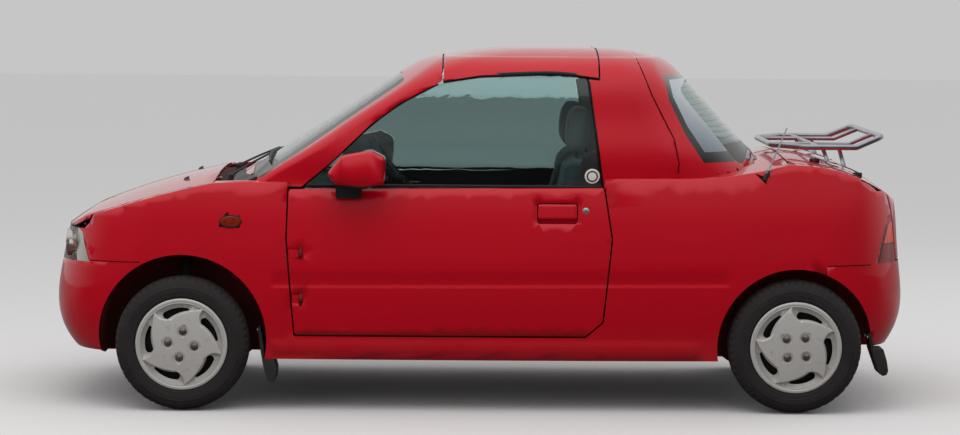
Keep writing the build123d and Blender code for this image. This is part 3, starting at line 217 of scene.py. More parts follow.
@known
def mottle_group():
    """Slow uneven colour, as a mask about one half."""
    group, given, result = start_group("Mottle", [("Scale", 6.0), ("Contrast", 0.5)], ["Mask"])
    value = noise(group, object_point(group), given["Scale"], 4.0, 0.6)
    spread = calc(group, "MULTIPLY", calc(group, "SUBTRACT", value, 0.5), given["Contrast"])
    feed(group, calc(group, "ADD", spread, 0.5, clamp=True), result["Mask"])
    return group


@known
def grain_group():
    """Fine moulded grain or orange peel, as a height."""
    group, given, result = start_group("Grain", [("Scale", 300.0), ("Depth", 0.001)], ["Height"])
    value = noise(group, object_point(group), given["Scale"], 2.0, 0.5)
    feed(group, calc(group, "MULTIPLY", value, given["Depth"]), result["Height"])
    return group


@known
def road_film_group():
    """Dust that thickens towards the ground and lies in patches, as a mask."""
    group, given, result = start_group("Road film", [("Clean height", 0.5), ("Amount", 0.5)], ["Mask"])
    point = object_point(group)
    height = ramp(group, separate(group, point)["Z"], 0.05, given["Clean height"], 1.0, 0.0)
    patches = ramp(group, noise(group, point, 9.0, 6.0, 0.65), 0.3, 0.7, 0.35, 1.0)
    feed(group, calc(group, "MULTIPLY", calc(group, "MULTIPLY", height, patches), given["Amount"]), result["Mask"])
    return group


@known
def edge_band_group():
    """1 near a line in the side view, 0 further inside. Origin and Inward are given as X, 0, Z."""
    group, given, result = start_group(
        "Edge band", [("Origin", (0.0, 0.0, 0.0)), ("Inward", (1.0, 0.0, 0.0)), ("Width", 0.02)], ["Mask"])
    away = group.nodes.new("ShaderNodeVectorMath")
    away.operation = "SUBTRACT"
    feed(group, object_point(group), away.inputs[0])
    feed(group, given["Origin"], away.inputs[1])
    reach = group.nodes.new("ShaderNodeVectorMath")
    reach.operation = "DOT_PRODUCT"
    feed(group, away.outputs[0], reach.inputs[0])
    feed(group, given["Inward"], reach.inputs[1])
    outer = calc(group, "SUBTRACT", given["Width"], 0.0015)
    feed(group, ramp(group, reach.outputs["Value"], outer, given["Width"], 1.0, 0.0), result["Mask"])
    return group


@known
def axle_radius_group():
    """Distance from the nearer axle, seen from the side."""
    group, given, result = start_group("Axle radius", [("Height", FRONT_AXLE.z)], ["Radius"])
    point = separate(group, object_point(group))
    rise = calc(group, "SUBTRACT", point["Z"], given["Height"])
    distances = []
    for axle in (FRONT_AXLE, REAR_AXLE):
        run = calc(group, "SUBTRACT", point["X"], axle.x)
        square = calc(group, "ADD", calc(group, "MULTIPLY", run, run), calc(group, "MULTIPLY", rise, rise))
        distances.append(calc(group, "SQRT", square))
    feed(group, calc(group, "MINIMUM", *distances), result["Radius"])
    return group


def mottle(tree, scale, contrast):
    return place_group(tree, mottle_group(), scale=scale, contrast=contrast)[0]


def fine_grain(tree, scale, depth):
    return place_group(tree, grain_group(), scale=scale, depth=depth)[0]


def road_film(tree, clean_height, amount):
    return place_group(tree, road_film_group(), clean_height=clean_height, amount=amount)[0]


def border_mask(tree, bands, border=0.0):
    """The larger of border and a mask of each band: origin, inward, width."""
    for origin, inward, width in bands:
        band = place_group(tree, edge_band_group(), origin=origin, inward=inward, width=width)[0]
        border = calc(tree, "MAXIMUM", border, band)
    return border


def start_material(name, roughness=0.5, metallic=0.0, **constants):
    material = bpy.data.materials.new(name)
    material.use_nodes = True
    tree = material.node_tree
    tree.nodes.clear()
    shader = tree.nodes.new("ShaderNodeBsdfPrincipled")
    tree.links.new(shader.outputs[0], tree.nodes.new("ShaderNodeOutputMaterial").inputs[0])
    shader.inputs["Roughness"].default_value = roughness
    shader.inputs["Metallic"].default_value = metallic
    for socket, value in constants.items():
        shader.inputs[socket.replace("_", " ")].default_value = value
    return material, tree, shader.inputs


def bump(tree, sockets, height, strength, distance=0.001):
    node = tree.nodes.new("ShaderNodeBump")
    node.inputs["Strength"].default_value = strength
    node.inputs["Distance"].default_value = distance
    feed(tree, height, node.inputs["Height"])
    feed(tree, node.outputs[0], sockets["Normal"])


def two_tone(name, drift, dark, pale, rough, grain=None, roughness=0.5, metallic=0.0, **constants):
    """Colour and roughness drift between two values. drift is (scale, contrast), grain (scale, depth, strength)."""
    material, tree, sockets = start_material(name, roughness, metallic, **constants)
    mask = mottle(tree, *drift)
    feed(tree, mix_colour(tree, mask, srgb(*dark), srgb(*pale)), sockets["Base Color"])
    feed(tree, ramp(tree, mask, 0.2, 0.8, *rough), sockets["Roughness"])
    if grain:
        bump(tree, sockets, fine_grain(tree, *grain[:2]), grain[2])
    return material


def colours():
    return bpy.context.scene.kei_car_colours


def sizes():
    return bpy.context.scene.kei_car_sizes


DUST = srgb(142, 128, 112)


# the crease along the flanks: its height at x = 0, its rise for each metre back, and its front and back ends
CREASE_HEIGHT = 0.4765
CREASE_RISE = 0.0063
CREASE_ENDS = ((-0.80, -0.76), (0.90, 0.95))
# the sill's bulge: where it swells and falls away in z, its ends in x, and its share of the bump's depth
SILL_SWELL = (0.200, 0.240)
SILL_FALL = (0.248, 0.284)
SILL_ENDS = ((-0.80, -0.77), (0.80, 0.86))
SILL_DEPTH = 0.9
PAINT_RELIEF = 0.0085


@known
def crimson_paint():
    """Gloss crimson over pressed steel: a faint peel, dust low down, and the crease along the flanks."""
    material, tree, sockets = start_material(
        "crimson_paint", Coat_Weight=0.9, Coat_Roughness=0.04, Specular_IOR_Level=0.1)
    mask = mottle(tree, 2.2, 0.7)
    paint = colours().paint
    base = mix_colour(tree, mask, darker(paint, 0.86), paint)
    film = road_film(tree, 0.36, 0.12)
    feed(tree, mix_colour(tree, film, base, DUST), sockets["Base Color"])
    feed(tree, ramp(tree, film, 0.0, 0.4, 0.30, 0.6), sockets["Roughness"])
    peel = fine_grain(tree, 200.0, 0.006)
    point = separate(tree, object_point(tree))
    crease_height = calc(tree, "MULTIPLY_ADD", point["X"], CREASE_RISE, CREASE_HEIGHT)
    rise = calc(tree, "SUBTRACT", point["Z"], crease_height)
    ridge = between(tree, rise, (-0.004, 0.012), (0.012, 0.075))
    outer = ramp(tree, calc(tree, "ABSOLUTE", point["Y"]), 0.62, 0.64)
    extent = calc(tree, "MULTIPLY", between(tree, point["X"], *CREASE_ENDS), outer)
    swell = between(tree, point["Z"], SILL_SWELL, SILL_FALL)
    bulge = calc(tree, "MULTIPLY", calc(tree, "MULTIPLY", swell, between(tree, point["X"], *SILL_ENDS)), SILL_DEPTH)
    height = calc(tree, "SUBTRACT", calc(tree, "ADD", peel, bulge), calc(tree, "MULTIPLY", ridge, extent))
    bump(tree, sockets, height, 1.0, PAINT_RELIEF)
    return material


@known
def gap_shade():
    """Unlit steel edge down in the gap between two panels."""
    return two_tone("gap_shade", (12.0, 1.0), (16, 9, 10), (34, 12, 14), (0.7, 0.9), roughness=0.8,
                    Specular_IOR_Level=0.1)


@known
def inner_paint_and_shade():
    """Unpolished body colour on inner and lower steel, painted much darker than the outer paint as shade, under road
    dust.
    """
    material, tree, sockets = start_material("inner_paint_and_shade", Specular_IOR_Level=0.4)
    mask = mottle(tree, 7.0, 1.2)
    # painted shade: a much darker red than the outer paint stands for the shade on inner and lower steel
    base = mix_colour(tree, mask, srgb(74, 12, 14), srgb(112, 24, 20))
    film = road_film(tree, 0.75, 0.55)
    feed(tree, mix_colour(tree, film, base, srgb(70, 52, 44)), sockets["Base Color"])
    feed(tree, ramp(tree, film, 0.0, 0.5, 0.5, 0.85), sockets["Roughness"])
    bump(tree, sockets, fine_grain(tree, 90.0, 0.5), 0.4)
    return material


@known
def black_plastic():
    """Satin moulded plastic with a fine grain, paler where it has weathered."""
    return two_tone("black_plastic", (14.0, 1.0), (27, 27, 29), (52, 52, 54), (0.38, 0.58), (900.0, 0.3, 0.5))


@known
def seal_rubber():
    """Matt black rubber with a dusty bloom."""
    material, tree, sockets = start_material("seal_rubber")
    mask = mottle(tree, 22.0, 1.1)
    base = mix_colour(tree, mask, colours().rubber, srgb(36, 35, 35))
    film = road_film(tree, 0.35, 0.12)
    feed(tree, mix_colour(tree, film, base, DUST), sockets["Base Color"])
    feed(tree, ramp(tree, mask, 0.2, 0.8, 0.5, 0.72), sockets["Roughness"])
    bump(tree, sockets, fine_grain(tree, 500.0, 0.4), 0.4)
    return material


def glass_material(name, bands, fine_lines=False):
    """Clear tinted glass with a printed black border along the given bands."""
    material, tree, sockets = start_material(name, 0.0, Transmission_Weight=1.0, IOR=1.46)
    border = border_mask(tree, bands)
    tint = mottle(tree, 3.0, 0.3)
    pale = colours().glass
    base = mix_colour(tree, tint, darker(pale, 0.94), pale)
    if fine_lines:
        height = separate(tree, object_point(tree))["Z"]
        beat = calc(tree, "FRACT", calc(tree, "DIVIDE", height, 0.021))
        line = calc(tree, "LESS_THAN", beat, 0.075)
        base = mix_colour(tree, line, base, srgb(112, 84, 66))
    feed(tree, mix_colour(tree, border, base, srgb(12, 12, 13)), sockets["Base Color"])
    feed(tree, calc(tree, "MULTIPLY", border, 0.22), sockets["Roughness"])
    return material


# origin, inward, width: bands of the printed border, as X, 0, Z in the side view
SCREEN_BANDS = [
    ((-0.861, 0, 0.905), (0.0, 0, 1.0), 0.030),
    ((-0.288, 0, 1.283), (-0.30, 0, -0.954), 0.030),
    ((-0.803, 0, 0.896), (-0.560, 0, 0.828), 0.013),
]
REAR_BANDS = [
    ((0.771, 0, 1.262), (0.0, 0, -1.0), 0.028),
    ((0.980, 0, 0.945), (0.0, 0, 1.0), 0.062),
]
# the front edge, top and bottom of the glass where it wraps round the rear corners of the cabin
CORNER_BANDS = [
    ((0.695, 0, 1.259), (0.986, 0, 0.166), 0.020),
    ((0.709, 0, 1.176), (0.904, 0, 0.428), 0.022),
    ((0.771, 0, 1.045), (0.831, 0, 0.557), 0.026),
    ((0.771, 0, 1.268), (0.0, 0, -1.0), 0.018),
    ((0.980, 0, 0.943), (0.0, 0, 1.0), 0.040),
]


@known
def screen_glass():
    return glass_material("screen_glass", SCREEN_BANDS)


@known
def rear_glass():
    return glass_material("rear_glass", REAR_BANDS, True)


@known
def corner_glass():
    """Glass over the closed rear corners, its colour a painted sky reflection that is paler towards the top, with its
    printed black border.
    """
    material, tree, sockets = start_material("corner_glass", 0.08, Coat_Weight=1.0, Coat_Roughness=0.02)
    border = border_mask(tree, CORNER_BANDS)
    height = separate(tree, object_point(tree))["Z"]
    # painted reflection: a blue-grey that grows paler with height stands for the sky on the glass
    painted_sky_reflection = mix_colour(tree, ramp(tree, height, 0.97, 1.22), srgb(96, 112, 120), srgb(168, 180, 186))
    tint = mottle(tree, 5.0, 0.8)
    painted_sky_reflection = mix_colour(tree, calc(tree, "MULTIPLY", tint, 0.5), painted_sky_reflection, srgb(120, 134, 140))
    feed(tree, mix_colour(tree, border, painted_sky_reflection, srgb(10, 10, 11)), sockets["Base Color"])
    feed(tree, calc(tree, "MULTIPLY", border, 0.25), sockets["Roughness"])
    return material


@known
def door_glass():
    return glass_material("door_glass", ())


@known
def lens_clear():
    """Clear lamp lens with moulded upright flutes."""
    material, tree, sockets = start_material("lens_clear", 0.02, Transmission_Weight=1.0, IOR=1.45)
    mask = mottle(tree, 30.0, 0.4)
    feed(tree, mix_colour(tree, mask, srgb(226, 226, 220), srgb(246, 246, 242)), sockets["Base Color"])
    point = separate(tree, object_point(tree))
    along = calc(tree, "ADD", point["Y"], calc(tree, "MULTIPLY", point["X"], 0.6))
    flutes = wave(tree, along, 0.011)
    bump(tree, sockets, flutes, 0.35, 0.0006)
    return material


@known
def lamp_reflector():
    """Bright vacuum-plated bowl with a faint haze."""
    return two_tone("lamp_reflector", (18.0, 0.8), (176, 174, 166), (222, 220, 214), (0.14, 0.34), metallic=0.9)


# x, z of the seam between the two colours of a tail lamp, and its black surround
TAIL_SPLIT = 0.637
# spacing of the prisms in a tail lens
PRISM = 0.006
TAIL_BANDS = [
    ((1.500, 0, 0.569), (0.957, 0, -0.290), 0.0095),
    ((1.574, 0, 0.552), (0.0, 0, 1.0), 0.008),
]


@known
def tail_lens():
    """Amber over dark red, with moulded prisms and a black surround."""
    material, tree, sockets = start_material(
        "tail_lens", 0.3, Coat_Weight=0.7, Coat_Roughness=0.05, Specular_IOR_Level=0.2)
    point = separate(tree, object_point(tree))
    upper = ramp(tree, point["Z"], TAIL_SPLIT - 0.0006, TAIL_SPLIT + 0.0006)
    glow = mottle(tree, 26.0, 1.0)
    amber = mix_colour(tree, glow, srgb(214, 40, 10), srgb(238, 72, 22))
    red = mix_colour(tree, glow, srgb(104, 3, 12), srgb(150, 6, 20))
    base = mix_colour(tree, upper, red, amber)
    seam = calc(tree, "ABSOLUTE", calc(tree, "SUBTRACT", point["Z"], TAIL_SPLIT))
    border = border_mask(tree, TAIL_BANDS, ramp(tree, seam, 0.0016, 0.003, 1.0, 0.0))
    feed(tree, mix_colour(tree, border, base, srgb(18, 14, 15)), sockets["Base Color"])
    feed(tree, ramp(tree, border, 0.0, 1.0, 0.3, 0.42), sockets["Roughness"])
    across = wave(tree, point["Y"], PRISM)
    up = wave(tree, point["Z"], PRISM)
    bump(tree, sockets, calc(tree, "MULTIPLY", across, up), 0.3, 0.0005)
    return material


@known
def amber_lens():
    """Brown-amber side marker lens with fine prisms."""
    material, tree, sockets = start_material(
        "amber_lens", 0.3, Coat_Weight=0.6, Coat_Roughness=0.05, Specular_IOR_Level=0.2)
    glow = mottle(tree, 60.0, 1.4)
    feed(tree, mix_colour(tree, glow, srgb(92, 16, 6), srgb(150, 40, 10)), sockets["Base Color"])
    bump(tree, sockets, wave(tree, separate(tree, object_point(tree))["X"], 0.004), 0.3, 0.0004)
    return material


@known
def silver_cover():
    """Silver-painted wheel cover: warm, satin, with brake dust in its hollows."""
    material, tree, sockets = start_material(
        "silver_cover", 0.36, 0.35, Coat_Weight=0.35, Coat_Roughness=0.2)
    mask = mottle(tree, 11.0, 0.7)
    cover = colours().cover
    base = mix_colour(tree, mask, darker(cover, 0.86), cover)
    point = object_point(tree)
    depth = calc(tree, "ABSOLUTE", separate(tree, point)["Y"])
    hollow = ramp(tree, depth, TRACK_HALF + 0.0605, TRACK_HALF + 0.0655, 0.55, 0.0)
    specks = ramp(tree, noise(tree, point, 46.0, 5.0, 0.7), 0.55, 0.75, 0.0, 0.35)
    grime = calc(tree, "MAXIMUM", hollow, specks)
    feed(tree, mix_colour(tree, grime, base, srgb(120, 108, 98)), sockets["Base Color"])
    feed(tree, ramp(tree, grime, 0.0, 0.6, 0.34, 0.6), sockets["Roughness"])
    bump(tree, sockets, fine_grain(tree, 400.0, 0.12), 0.3)
    return material


@known
def nut_metal():
    """Plated nut domes with a dull bloom."""
    return two_tone("nut_metal", (60.0, 1.5), (98, 90, 84), (168, 160, 152), (0.22, 0.45), metallic=0.85)


@known
def rim_steel():
    """Dark steel wheel behind the cover."""
    return two_tone("rim_steel", (20.0, 1.3), (22, 21, 21), (48, 45, 43), (0.45, 0.7), metallic=0.3)


@known
def tyre_rubber():
    """Charcoal tyre: faint moulded rings on the wall, a dusty bloom and a scuffed tread."""
    material, tree, sockets = start_material("tyre_rubber", Specular_IOR_Level=0.35)
    radius = place_group(tree, axle_radius_group())[0]
    point = object_point(tree)
    mask = mottle(tree, 9.0, 1.1)
    base = mix_colour(tree, mask, colours().tyre, srgb(46, 43, 42))
    tread = ramp(tree, radius, 0.236, 0.247, 0.0, 0.75)
    base = mix_colour(tree, tread, base, srgb(54, 50, 48))
    bloom = ramp(tree, noise(tree, point, 40.0, 5.0, 0.7), 0.5, 0.8, 0.0, 0.25)
    feed(tree, mix_colour(tree, bloom, base, srgb(78, 70, 66)), sockets["Base Color"])
    feed(tree, ramp(tree, mask, 0.2, 0.8, 0.62, 0.82), sockets["Roughness"])
    rings = wave(tree, radius, 0.0085)
    wall = between(tree, radius, (0.176, 0.182), (0.216, 0.228))
    moulding = calc(tree, "MULTIPLY", rings, wall)
    grain = fine_grain(tree, 700.0, 0.6)
    bump(tree, sockets, calc(tree, "ADD", moulding, grain), 0.6, 0.0006)
    return material


@known
def plated_steel():
    """Bright plated tube with a fine haze and small pits."""
    material, tree, sockets = start_material("plated_steel", 0.2, 0.95)
    point = object_point(tree)
    mask = mottle(tree, 24.0, 0.9)
    pits = ramp(tree, noise(tree, point, 210.0, 3.0, 0.6), 0.68, 0.74, 0.0, 0.6)
    base = mix_colour(tree, mask, srgb(158, 160, 168), srgb(202, 204, 210))
    feed(tree, mix_colour(tree, pits, base, srgb(104, 84, 70)), sockets["Base Color"])
    feed(tree, ramp(tree, mask, 0.2, 0.8, 0.16, 0.34), sockets["Roughness"])
    return material


@known
def dull_casting():
    """Grey cast alloy with oil film."""
    return two_tone("dull_casting", (12.0, 1.6), (58, 54, 50), (138, 134, 128), (0.42, 0.72), (160.0, 0.8, 0.5),
                    metallic=0.6)


@known
def chassis_black():
    """Dusty semi-matt chassis black with light rust."""
    material, tree, sockets = start_material("chassis_black", 0.6, 0.1)
    mask = mottle(tree, 16.0, 1.3)
    base = mix_colour(tree, mask, srgb(26, 25, 25), srgb(54, 50, 47))
    rust = ramp(tree, noise(tree, object_point(tree), 34.0, 6.0, 0.7), 0.6, 0.72, 0.0, 0.55)
    base = mix_colour(tree, rust, base, srgb(92, 50, 30))
    film = road_film(tree, 0.6, 0.4)
    feed(tree, mix_colour(tree, film, base, srgb(96, 84, 74)), sockets["Base Color"])
    feed(tree, ramp(tree, mask, 0.2, 0.8, 0.5, 0.8), sockets["Roughness"])
    return material


@known
def dark_trim():
    """Grained dark grey cabin plastic."""
    return two_tone("dark_trim", (5.0, 0.8), (44, 45, 48), (62, 63, 66), (0.5, 0.66), (650.0, 0.8, 0.5))


@known
def cabin_lining():
    """Pale needled lining cloth."""
    material, tree, sockets = start_material("cabin_lining", 0.85, Sheen_Weight=0.3)
    mask = mottle(tree, 8.0, 0.8)
    lining = colours().lining
    feed(tree, mix_colour(tree, mask, darker(lining, 0.82), lining), sockets["Base Color"])
    bump(tree, sockets, fine_grain(tree, 800.0, 0.8), 0.5)
    return material


# spacing of the seat cloth's threads
THREAD = 0.0032


@known
def seat_cloth():
    """Grey woven seat cloth with a fine check."""
    material, tree, sockets = start_material("seat_cloth", 0.85, Sheen_Weight=0.4, Sheen_Roughness=0.5)
    point = separate(tree, object_point(tree))
    warp = wave(tree, point["Y"], THREAD)
    rise = calc(tree, "ADD", point["Z"], point["X"])
    weft = wave(tree, rise, THREAD)
    weave = calc(tree, "MULTIPLY", warp, weft)
    thread = ramp(tree, weave, -1.0, 1.0)
    cloth = colours().cloth
    base = mix_colour(tree, thread, darker(cloth, 0.62), cloth)
    wear = mottle(tree, 10.0, 0.9)
    feed(tree, mix_colour(tree, calc(tree, "MULTIPLY", wear, 0.3), base, srgb(96, 94, 92)), sockets["Base Color"])
    bump(tree, sockets, weave, 0.5, 0.0004)
    return material


@known
def bright_metal():
    """Polished trim metal."""
    return two_tone("bright_metal", (90.0, 0.8), (196, 194, 190), (232, 230, 226), (0.12, 0.28), metallic=0.9)


@known
def pale_enamel():
    """Off-white enamel of the blank plates and badge places."""
    return two_tone("pale_enamel", (18.0, 0.6), (206, 204, 196), (226, 225, 220), (0.3, 0.45), Coat_Weight=0.3)


@known
def mirror_silver():
    """Silvered mirror glass with a faint film."""
    return two_tone("mirror_silver", (25.0, 0.4), (196, 202, 204), (214, 219, 221), (0.02, 0.06), metallic=1.0)


@known
def studio_floor():
    """Pale studio floor: plain to the camera, and it keeps the car's shadow. To reflections it is a painted dark
    ground, darkest on the near side, and to other rays a painted dimmer grey, which shades the car's lower body.
    """
    material, tree, sockets = start_material("studio_floor", 0.75, Specular_IOR_Level=0.0)
    mask = mottle(tree, 0.6, 0.15)
    plain = mix_colour(tree, mask, srgb(214, 213, 212), srgb(219, 218, 217))
    # painted reflection and painted shade: rays other than the camera's see a darker floor than the camera does
    path = tree.nodes.new("ShaderNodeLightPath")
    near = ramp(tree, separate(tree, object_point(tree))["Y"], -1.5, 1.5, 1.0, 0.0)
    painted_dark_ground = mix_colour(tree, near, srgb(150, 148, 147), srgb(58, 50, 50))
    painted_dim_floor = mix_colour(tree, path.outputs["Is Glossy Ray"], srgb(128, 124, 122), painted_dark_ground)
    feed(tree, mix_colour(tree, path.outputs["Is Camera Ray"], painted_dim_floor, plain), sockets["Base Color"])
    return material


# Mesh helpers

# angle in degrees past which an edge stays sharp
PIECE_CREASE = 40

def finish_piece(name, bm, body, materials, crease=PIECE_CREASE):
    """Makes the bmesh a named piece that rides on a body and takes the given materials."""
    mesh = bpy.data.meshes.new(name)
    bm.to_mesh(mesh)
    bm.free()
    for material in materials:
        mesh.materials.append(material)
    mesh.shade_smooth()
    mesh.set_sharp_from_angle(angle=radians(crease))
    piece = bpy.data.objects.new(name, mesh)
    bpy.context.scene.collection.objects.link(piece)
    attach(piece, body)
    return piece


def skin(node, materials, crease, choose=None, cuts=()):
    """A smooth-shaded copy of a CAD node that stands for it. choose gives a face's material by its place."""
    bm = bmesh.new()
    bm.from_mesh(NODES[node].data)
    bmesh.ops.remove_doubles(bm, verts=bm.verts, dist=0.00002)
    for place, normal, _ in cuts:
        bmesh.ops.bisect_plane(bm, geom=bm.verts[:] + bm.edges[:] + bm.faces[:], plane_co=place, plane_no=normal)
    for face in bm.faces:
        face.material_index = choose(face.calc_center_median(), face.normal) if choose else 0
    piece = finish_piece(node + "_skin", bm, BODY_OF[node], materials, crease)
    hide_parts(node)
    return piece


def aim(start, end):
    """A matrix that takes the Z axis onto the run from start to end, centred between them."""
    start, end = Vector(start), Vector(end)
    return Matrix.Translation((start + end) / 2) @ facing(end - start)


def round_edges(bm, edges, offset, segments=2):
    bmesh.ops.bevel(bm, geom=list(edges), offset=offset, segments=segments, affect="EDGES", profile=0.5, material=-1)


def rod(bm, start, end, radius, end_radius=None, segments=24, bevel=0.0):
    """A closed round rod between two points."""
    length = (Vector(end) - Vector(start)).length
    made = bmesh.ops.create_cone(
        bm, cap_ends=True, segments=segments, radius1=radius,
        radius2=radius if end_radius is None else end_radius, depth=length, matrix=aim(start, end))
    if bevel:
        edges = {e for v in made["verts"] for e in v.link_edges if len(e.link_faces) == 2
                 and e.calc_face_angle(0) > radians(60)}
        round_edges(bm, edges, bevel)


def block(bm, low, high, bevel=0.002, segments=2, turn=None):
    """A box with rounded edges, turned about its own centre."""
    low, high = Vector(low), Vector(high)
    size = Matrix.Diagonal((*(high - low), 1.0))
    centre = Matrix.Translation((low + high) / 2)
    made = bmesh.ops.create_cube(bm, size=1.0, matrix=centre @ (turn or Matrix.Identity(4)) @ size)
    if bevel:
        round_edges(bm, {e for v in made["verts"] for e in v.link_edges}, bevel, segments)


def facing(direction):
    """The turn that takes the Z axis onto a direction."""
    return direction.to_track_quat("Z", "Y").to_matrix().to_4x4()


# turns that take the Z axis towards the car's front and rear
FACING_FRONT = Matrix.Rotation(-pi / 2, 4, "Y")
FACING_REAR = Matrix.Rotation(pi / 2, 4, "Y")


def lathe(bm, profile, matrix, steps=64):
    """Spins (radius, height) points about Z and puts the result at matrix."""
    spun = bmesh.new()
    vertices = [spun.verts.new((radius, 0, height)) for radius, height in profile]
    edges = [spun.edges.new(pair) for pair in zip(vertices, vertices[1:])]
    bmesh.ops.spin(
        spun, geom=vertices + edges, cent=(0, 0, 0), axis=(0, 0, 1), angle=2 * pi, steps=steps, use_merge=True)
    bmesh.ops.remove_doubles(spun, verts=spun.verts, dist=0.00001)
    bmesh.ops.recalc_face_normals(spun, faces=spun.faces)
    bmesh.ops.transform(spun, matrix=matrix, verts=spun.verts)
    join_into(bm, spun)


def tube_bm(points, radius, closed=False, resolution=3, smooth=True):
    """A bmesh of a round tube along points."""
    curve = bpy.data.curves.new("path", "CURVE")
    curve.dimensions = "3D"
    curve.bevel_depth = radius
    curve.bevel_resolution = resolution
    curve.use_fill_caps = True
    curve.resolution_u = 6
    spline = curve.splines.new("NURBS" if smooth else "POLY")
    spline.points.add(len(points) - 1)
    for target, point in zip(spline.points, points):
        target.co = (*point, 1.0)
    spline.use_cyclic_u = closed
    if smooth:
        spline.order_u = 3
        spline.use_endpoint_u = not closed
    carrier = bpy.data.objects.new("path", curve)
    bpy.context.scene.collection.objects.link(carrier)
    bpy.context.view_layer.update()
    mesh = bpy.data.meshes.new_from_object(carrier)
    bm = bmesh.new()
    bm.from_mesh(mesh)
    bpy.data.objects.remove(carrier)
    bpy.data.curves.remove(curve)
    bpy.data.meshes.remove(mesh)
    return bm


def join_into(bm, other):
    """Adds another bmesh's geometry to bm."""
    mesh = bpy.data.meshes.new("joined")
    other.to_mesh(mesh)
    other.free()
    bm.from_mesh(mesh)
    bpy.data.meshes.remove(mesh)


TREES = {}


def touch(node, start, direction):
    """Where a ray from start first meets a CAD node, and the outward normal there."""
    if node not in TREES:
        bm = bmesh.new()
        bm.from_mesh(NODES[node].data)
        TREES[node] = BVHTree.FromBMesh(bm)
        bm.free()
    place, normal, _, _ = TREES[node].ray_cast(Vector(start), Vector(direction).normalized())
    if place is None:
        raise RuntimeError(f"no surface of {node} below {tuple(start)}")
    return place, normal


def flank(node, x, z, side=-1):
    """The outer surface of a node at x, z, seen from one side of the car."""
    return touch(node, (x, side * 1.2, z), (0, -side, 0))


# The pieces

PAINTED = (
    "hood", "trunk_lid", "front_bumper", "front_fenders", "rear_bumper", "quarter_left", "quarter_right",
    "windshield_frame", "roof_panel_left", "roof_panel_right", "roof_hoop", "rear_canopy", "door_left", "door_right",
)
LINED = ("windshield_frame", "roof_panel_left", "roof_panel_right", "roof_hoop", "rear_canopy")
DOORS = ("door_left", "door_right")


def faces_cabin(node):
    """Tells the faces that look into the cabin."""
    def choose(centre, normal):
        if node in DOORS:
            inward = Vector((0.0, -centre.y, 0.0))
            return normal.dot(inward.normalized()) > 0.75 and abs(centre.y) < 0.668
        inward = Vector((-centre.x * 0.2, -centre.y, 0.8 - centre.z))
        return normal.dot(inward.normalized()) > 0.45 and centre.z > 0.86
    return choose


def all_surfaces():
    """One search tree over every opaque CAD node."""
    if "all" not in TREES:
        bm = bmesh.new()
        for node, piece in NODES.items():
            if "glass" not in node and node not in ("windshield", "rear_window"):
                bm.from_mesh(piece.data)
        TREES["all"] = BVHTree.FromBMesh(bm)
        bm.free()
    return TREES["all"]


def in_gap(centre, normal, reach=0.0085):
    """True where a face looks across a narrow gap at another panel."""
    return all_surfaces().ray_cast(centre + normal * 0.00015, normal, reach)[0] is not None


class KEICAR_OT_panels(bpy.types.Operator):
    """Paints the outer panels and lines the sides that face the cabin"""

    bl_idname = "kei_car.panels"
    bl_label = "Painted panels"

    def execute(self, context):
        for node in PAINTED:
            lining = dark_trim() if node in DOORS else cabin_lining()
            lined = faces_cabin(node) if node in LINED + DOORS else lambda centre, normal: False
            cuts = CORNER_BANDS if node == "rear_canopy" else ()

            def choose(centre, normal):
                if lined(centre, normal):
                    return 1
                if cuts and all((centre - Vector(place)).dot(Vector(inward)) > 0 for place, inward, _ in cuts):
                    return 3
                return 2 if in_gap(centre, normal) else 0
            skin(node, [crimson_paint(), lining, gap_shade(), corner_glass()], PIECE_CREASE,
                 choose, cuts)
        return {"FINISHED"}


class KEICAR_OT_glass(bpy.types.Operator):
    """Glazes the windows, with their printed borders and heater lines"""

    bl_idname = "kei_car.glass"
    bl_label = "Window glass"

    def execute(self, context):
        for node, material in (("windshield", screen_glass()), ("rear_window", rear_glass()),
                               ("door_glass_left", door_glass()), ("door_glass_right", door_glass())):
            skin(node, [material], 30)
        return {"FINISHED"}


def lens_face(centre, normal):
    """0 for the clear skin of a headlamp, 1 for its plated bowl."""
    clear = normal.x < -0.15 or abs(normal.y) > 0.6
    return 0 if clear and centre.x < -1.53 else 1


class KEICAR_OT_lamps(bpy.types.Operator):
    """Gives the lamps their lenses, and the headlamps their plated bowls"""

    bl_idname = "kei_car.lamps"
    bl_label = "Lamps"

    def execute(self, context):
        skin("headlights", [lens_clear(), lamp_reflector()], 30, lens_face)
        skin("tail_lights", [tail_lens()], 30)
        skin("side_markers", [amber_lens()], 30)
        return {"FINISHED"}


NUT_CIRCLE = 0.050


def cover_face(axle):
    """0 silver cover, 1 dark steel behind it, 2 nut."""
    def choose(centre, normal):
        run = Vector((centre.x - axle.x, centre.z - axle.z))
        out = abs(centre.y) - TRACK_HALF
        if out < 0.0575:
            return 1
        nut = abs(run.length - NUT_CIRCLE) < 0.0175 and out > 0.0762
        if nut:
            across = Vector((normal.x, normal.z))
            return 2 if across.length > 0.12 or out > 0.0815 else 0
        return 0
    return choose


class KEICAR_OT_wheels(bpy.types.Operator):
    """Paints the wheel covers, with plated nuts and the dark wheel behind the slots"""

    bl_idname = "kei_car.wheels"
    bl_label = "Wheel covers"

    def execute(self, context):
        for tyre, _, axle, _ in WHEELS:
            node = tyre.replace("tyre", "wheel")
            skin(node, [silver_cover(), rim_steel(), nut_metal()], 28, cover_face(axle))
        return {"FINISHED"}


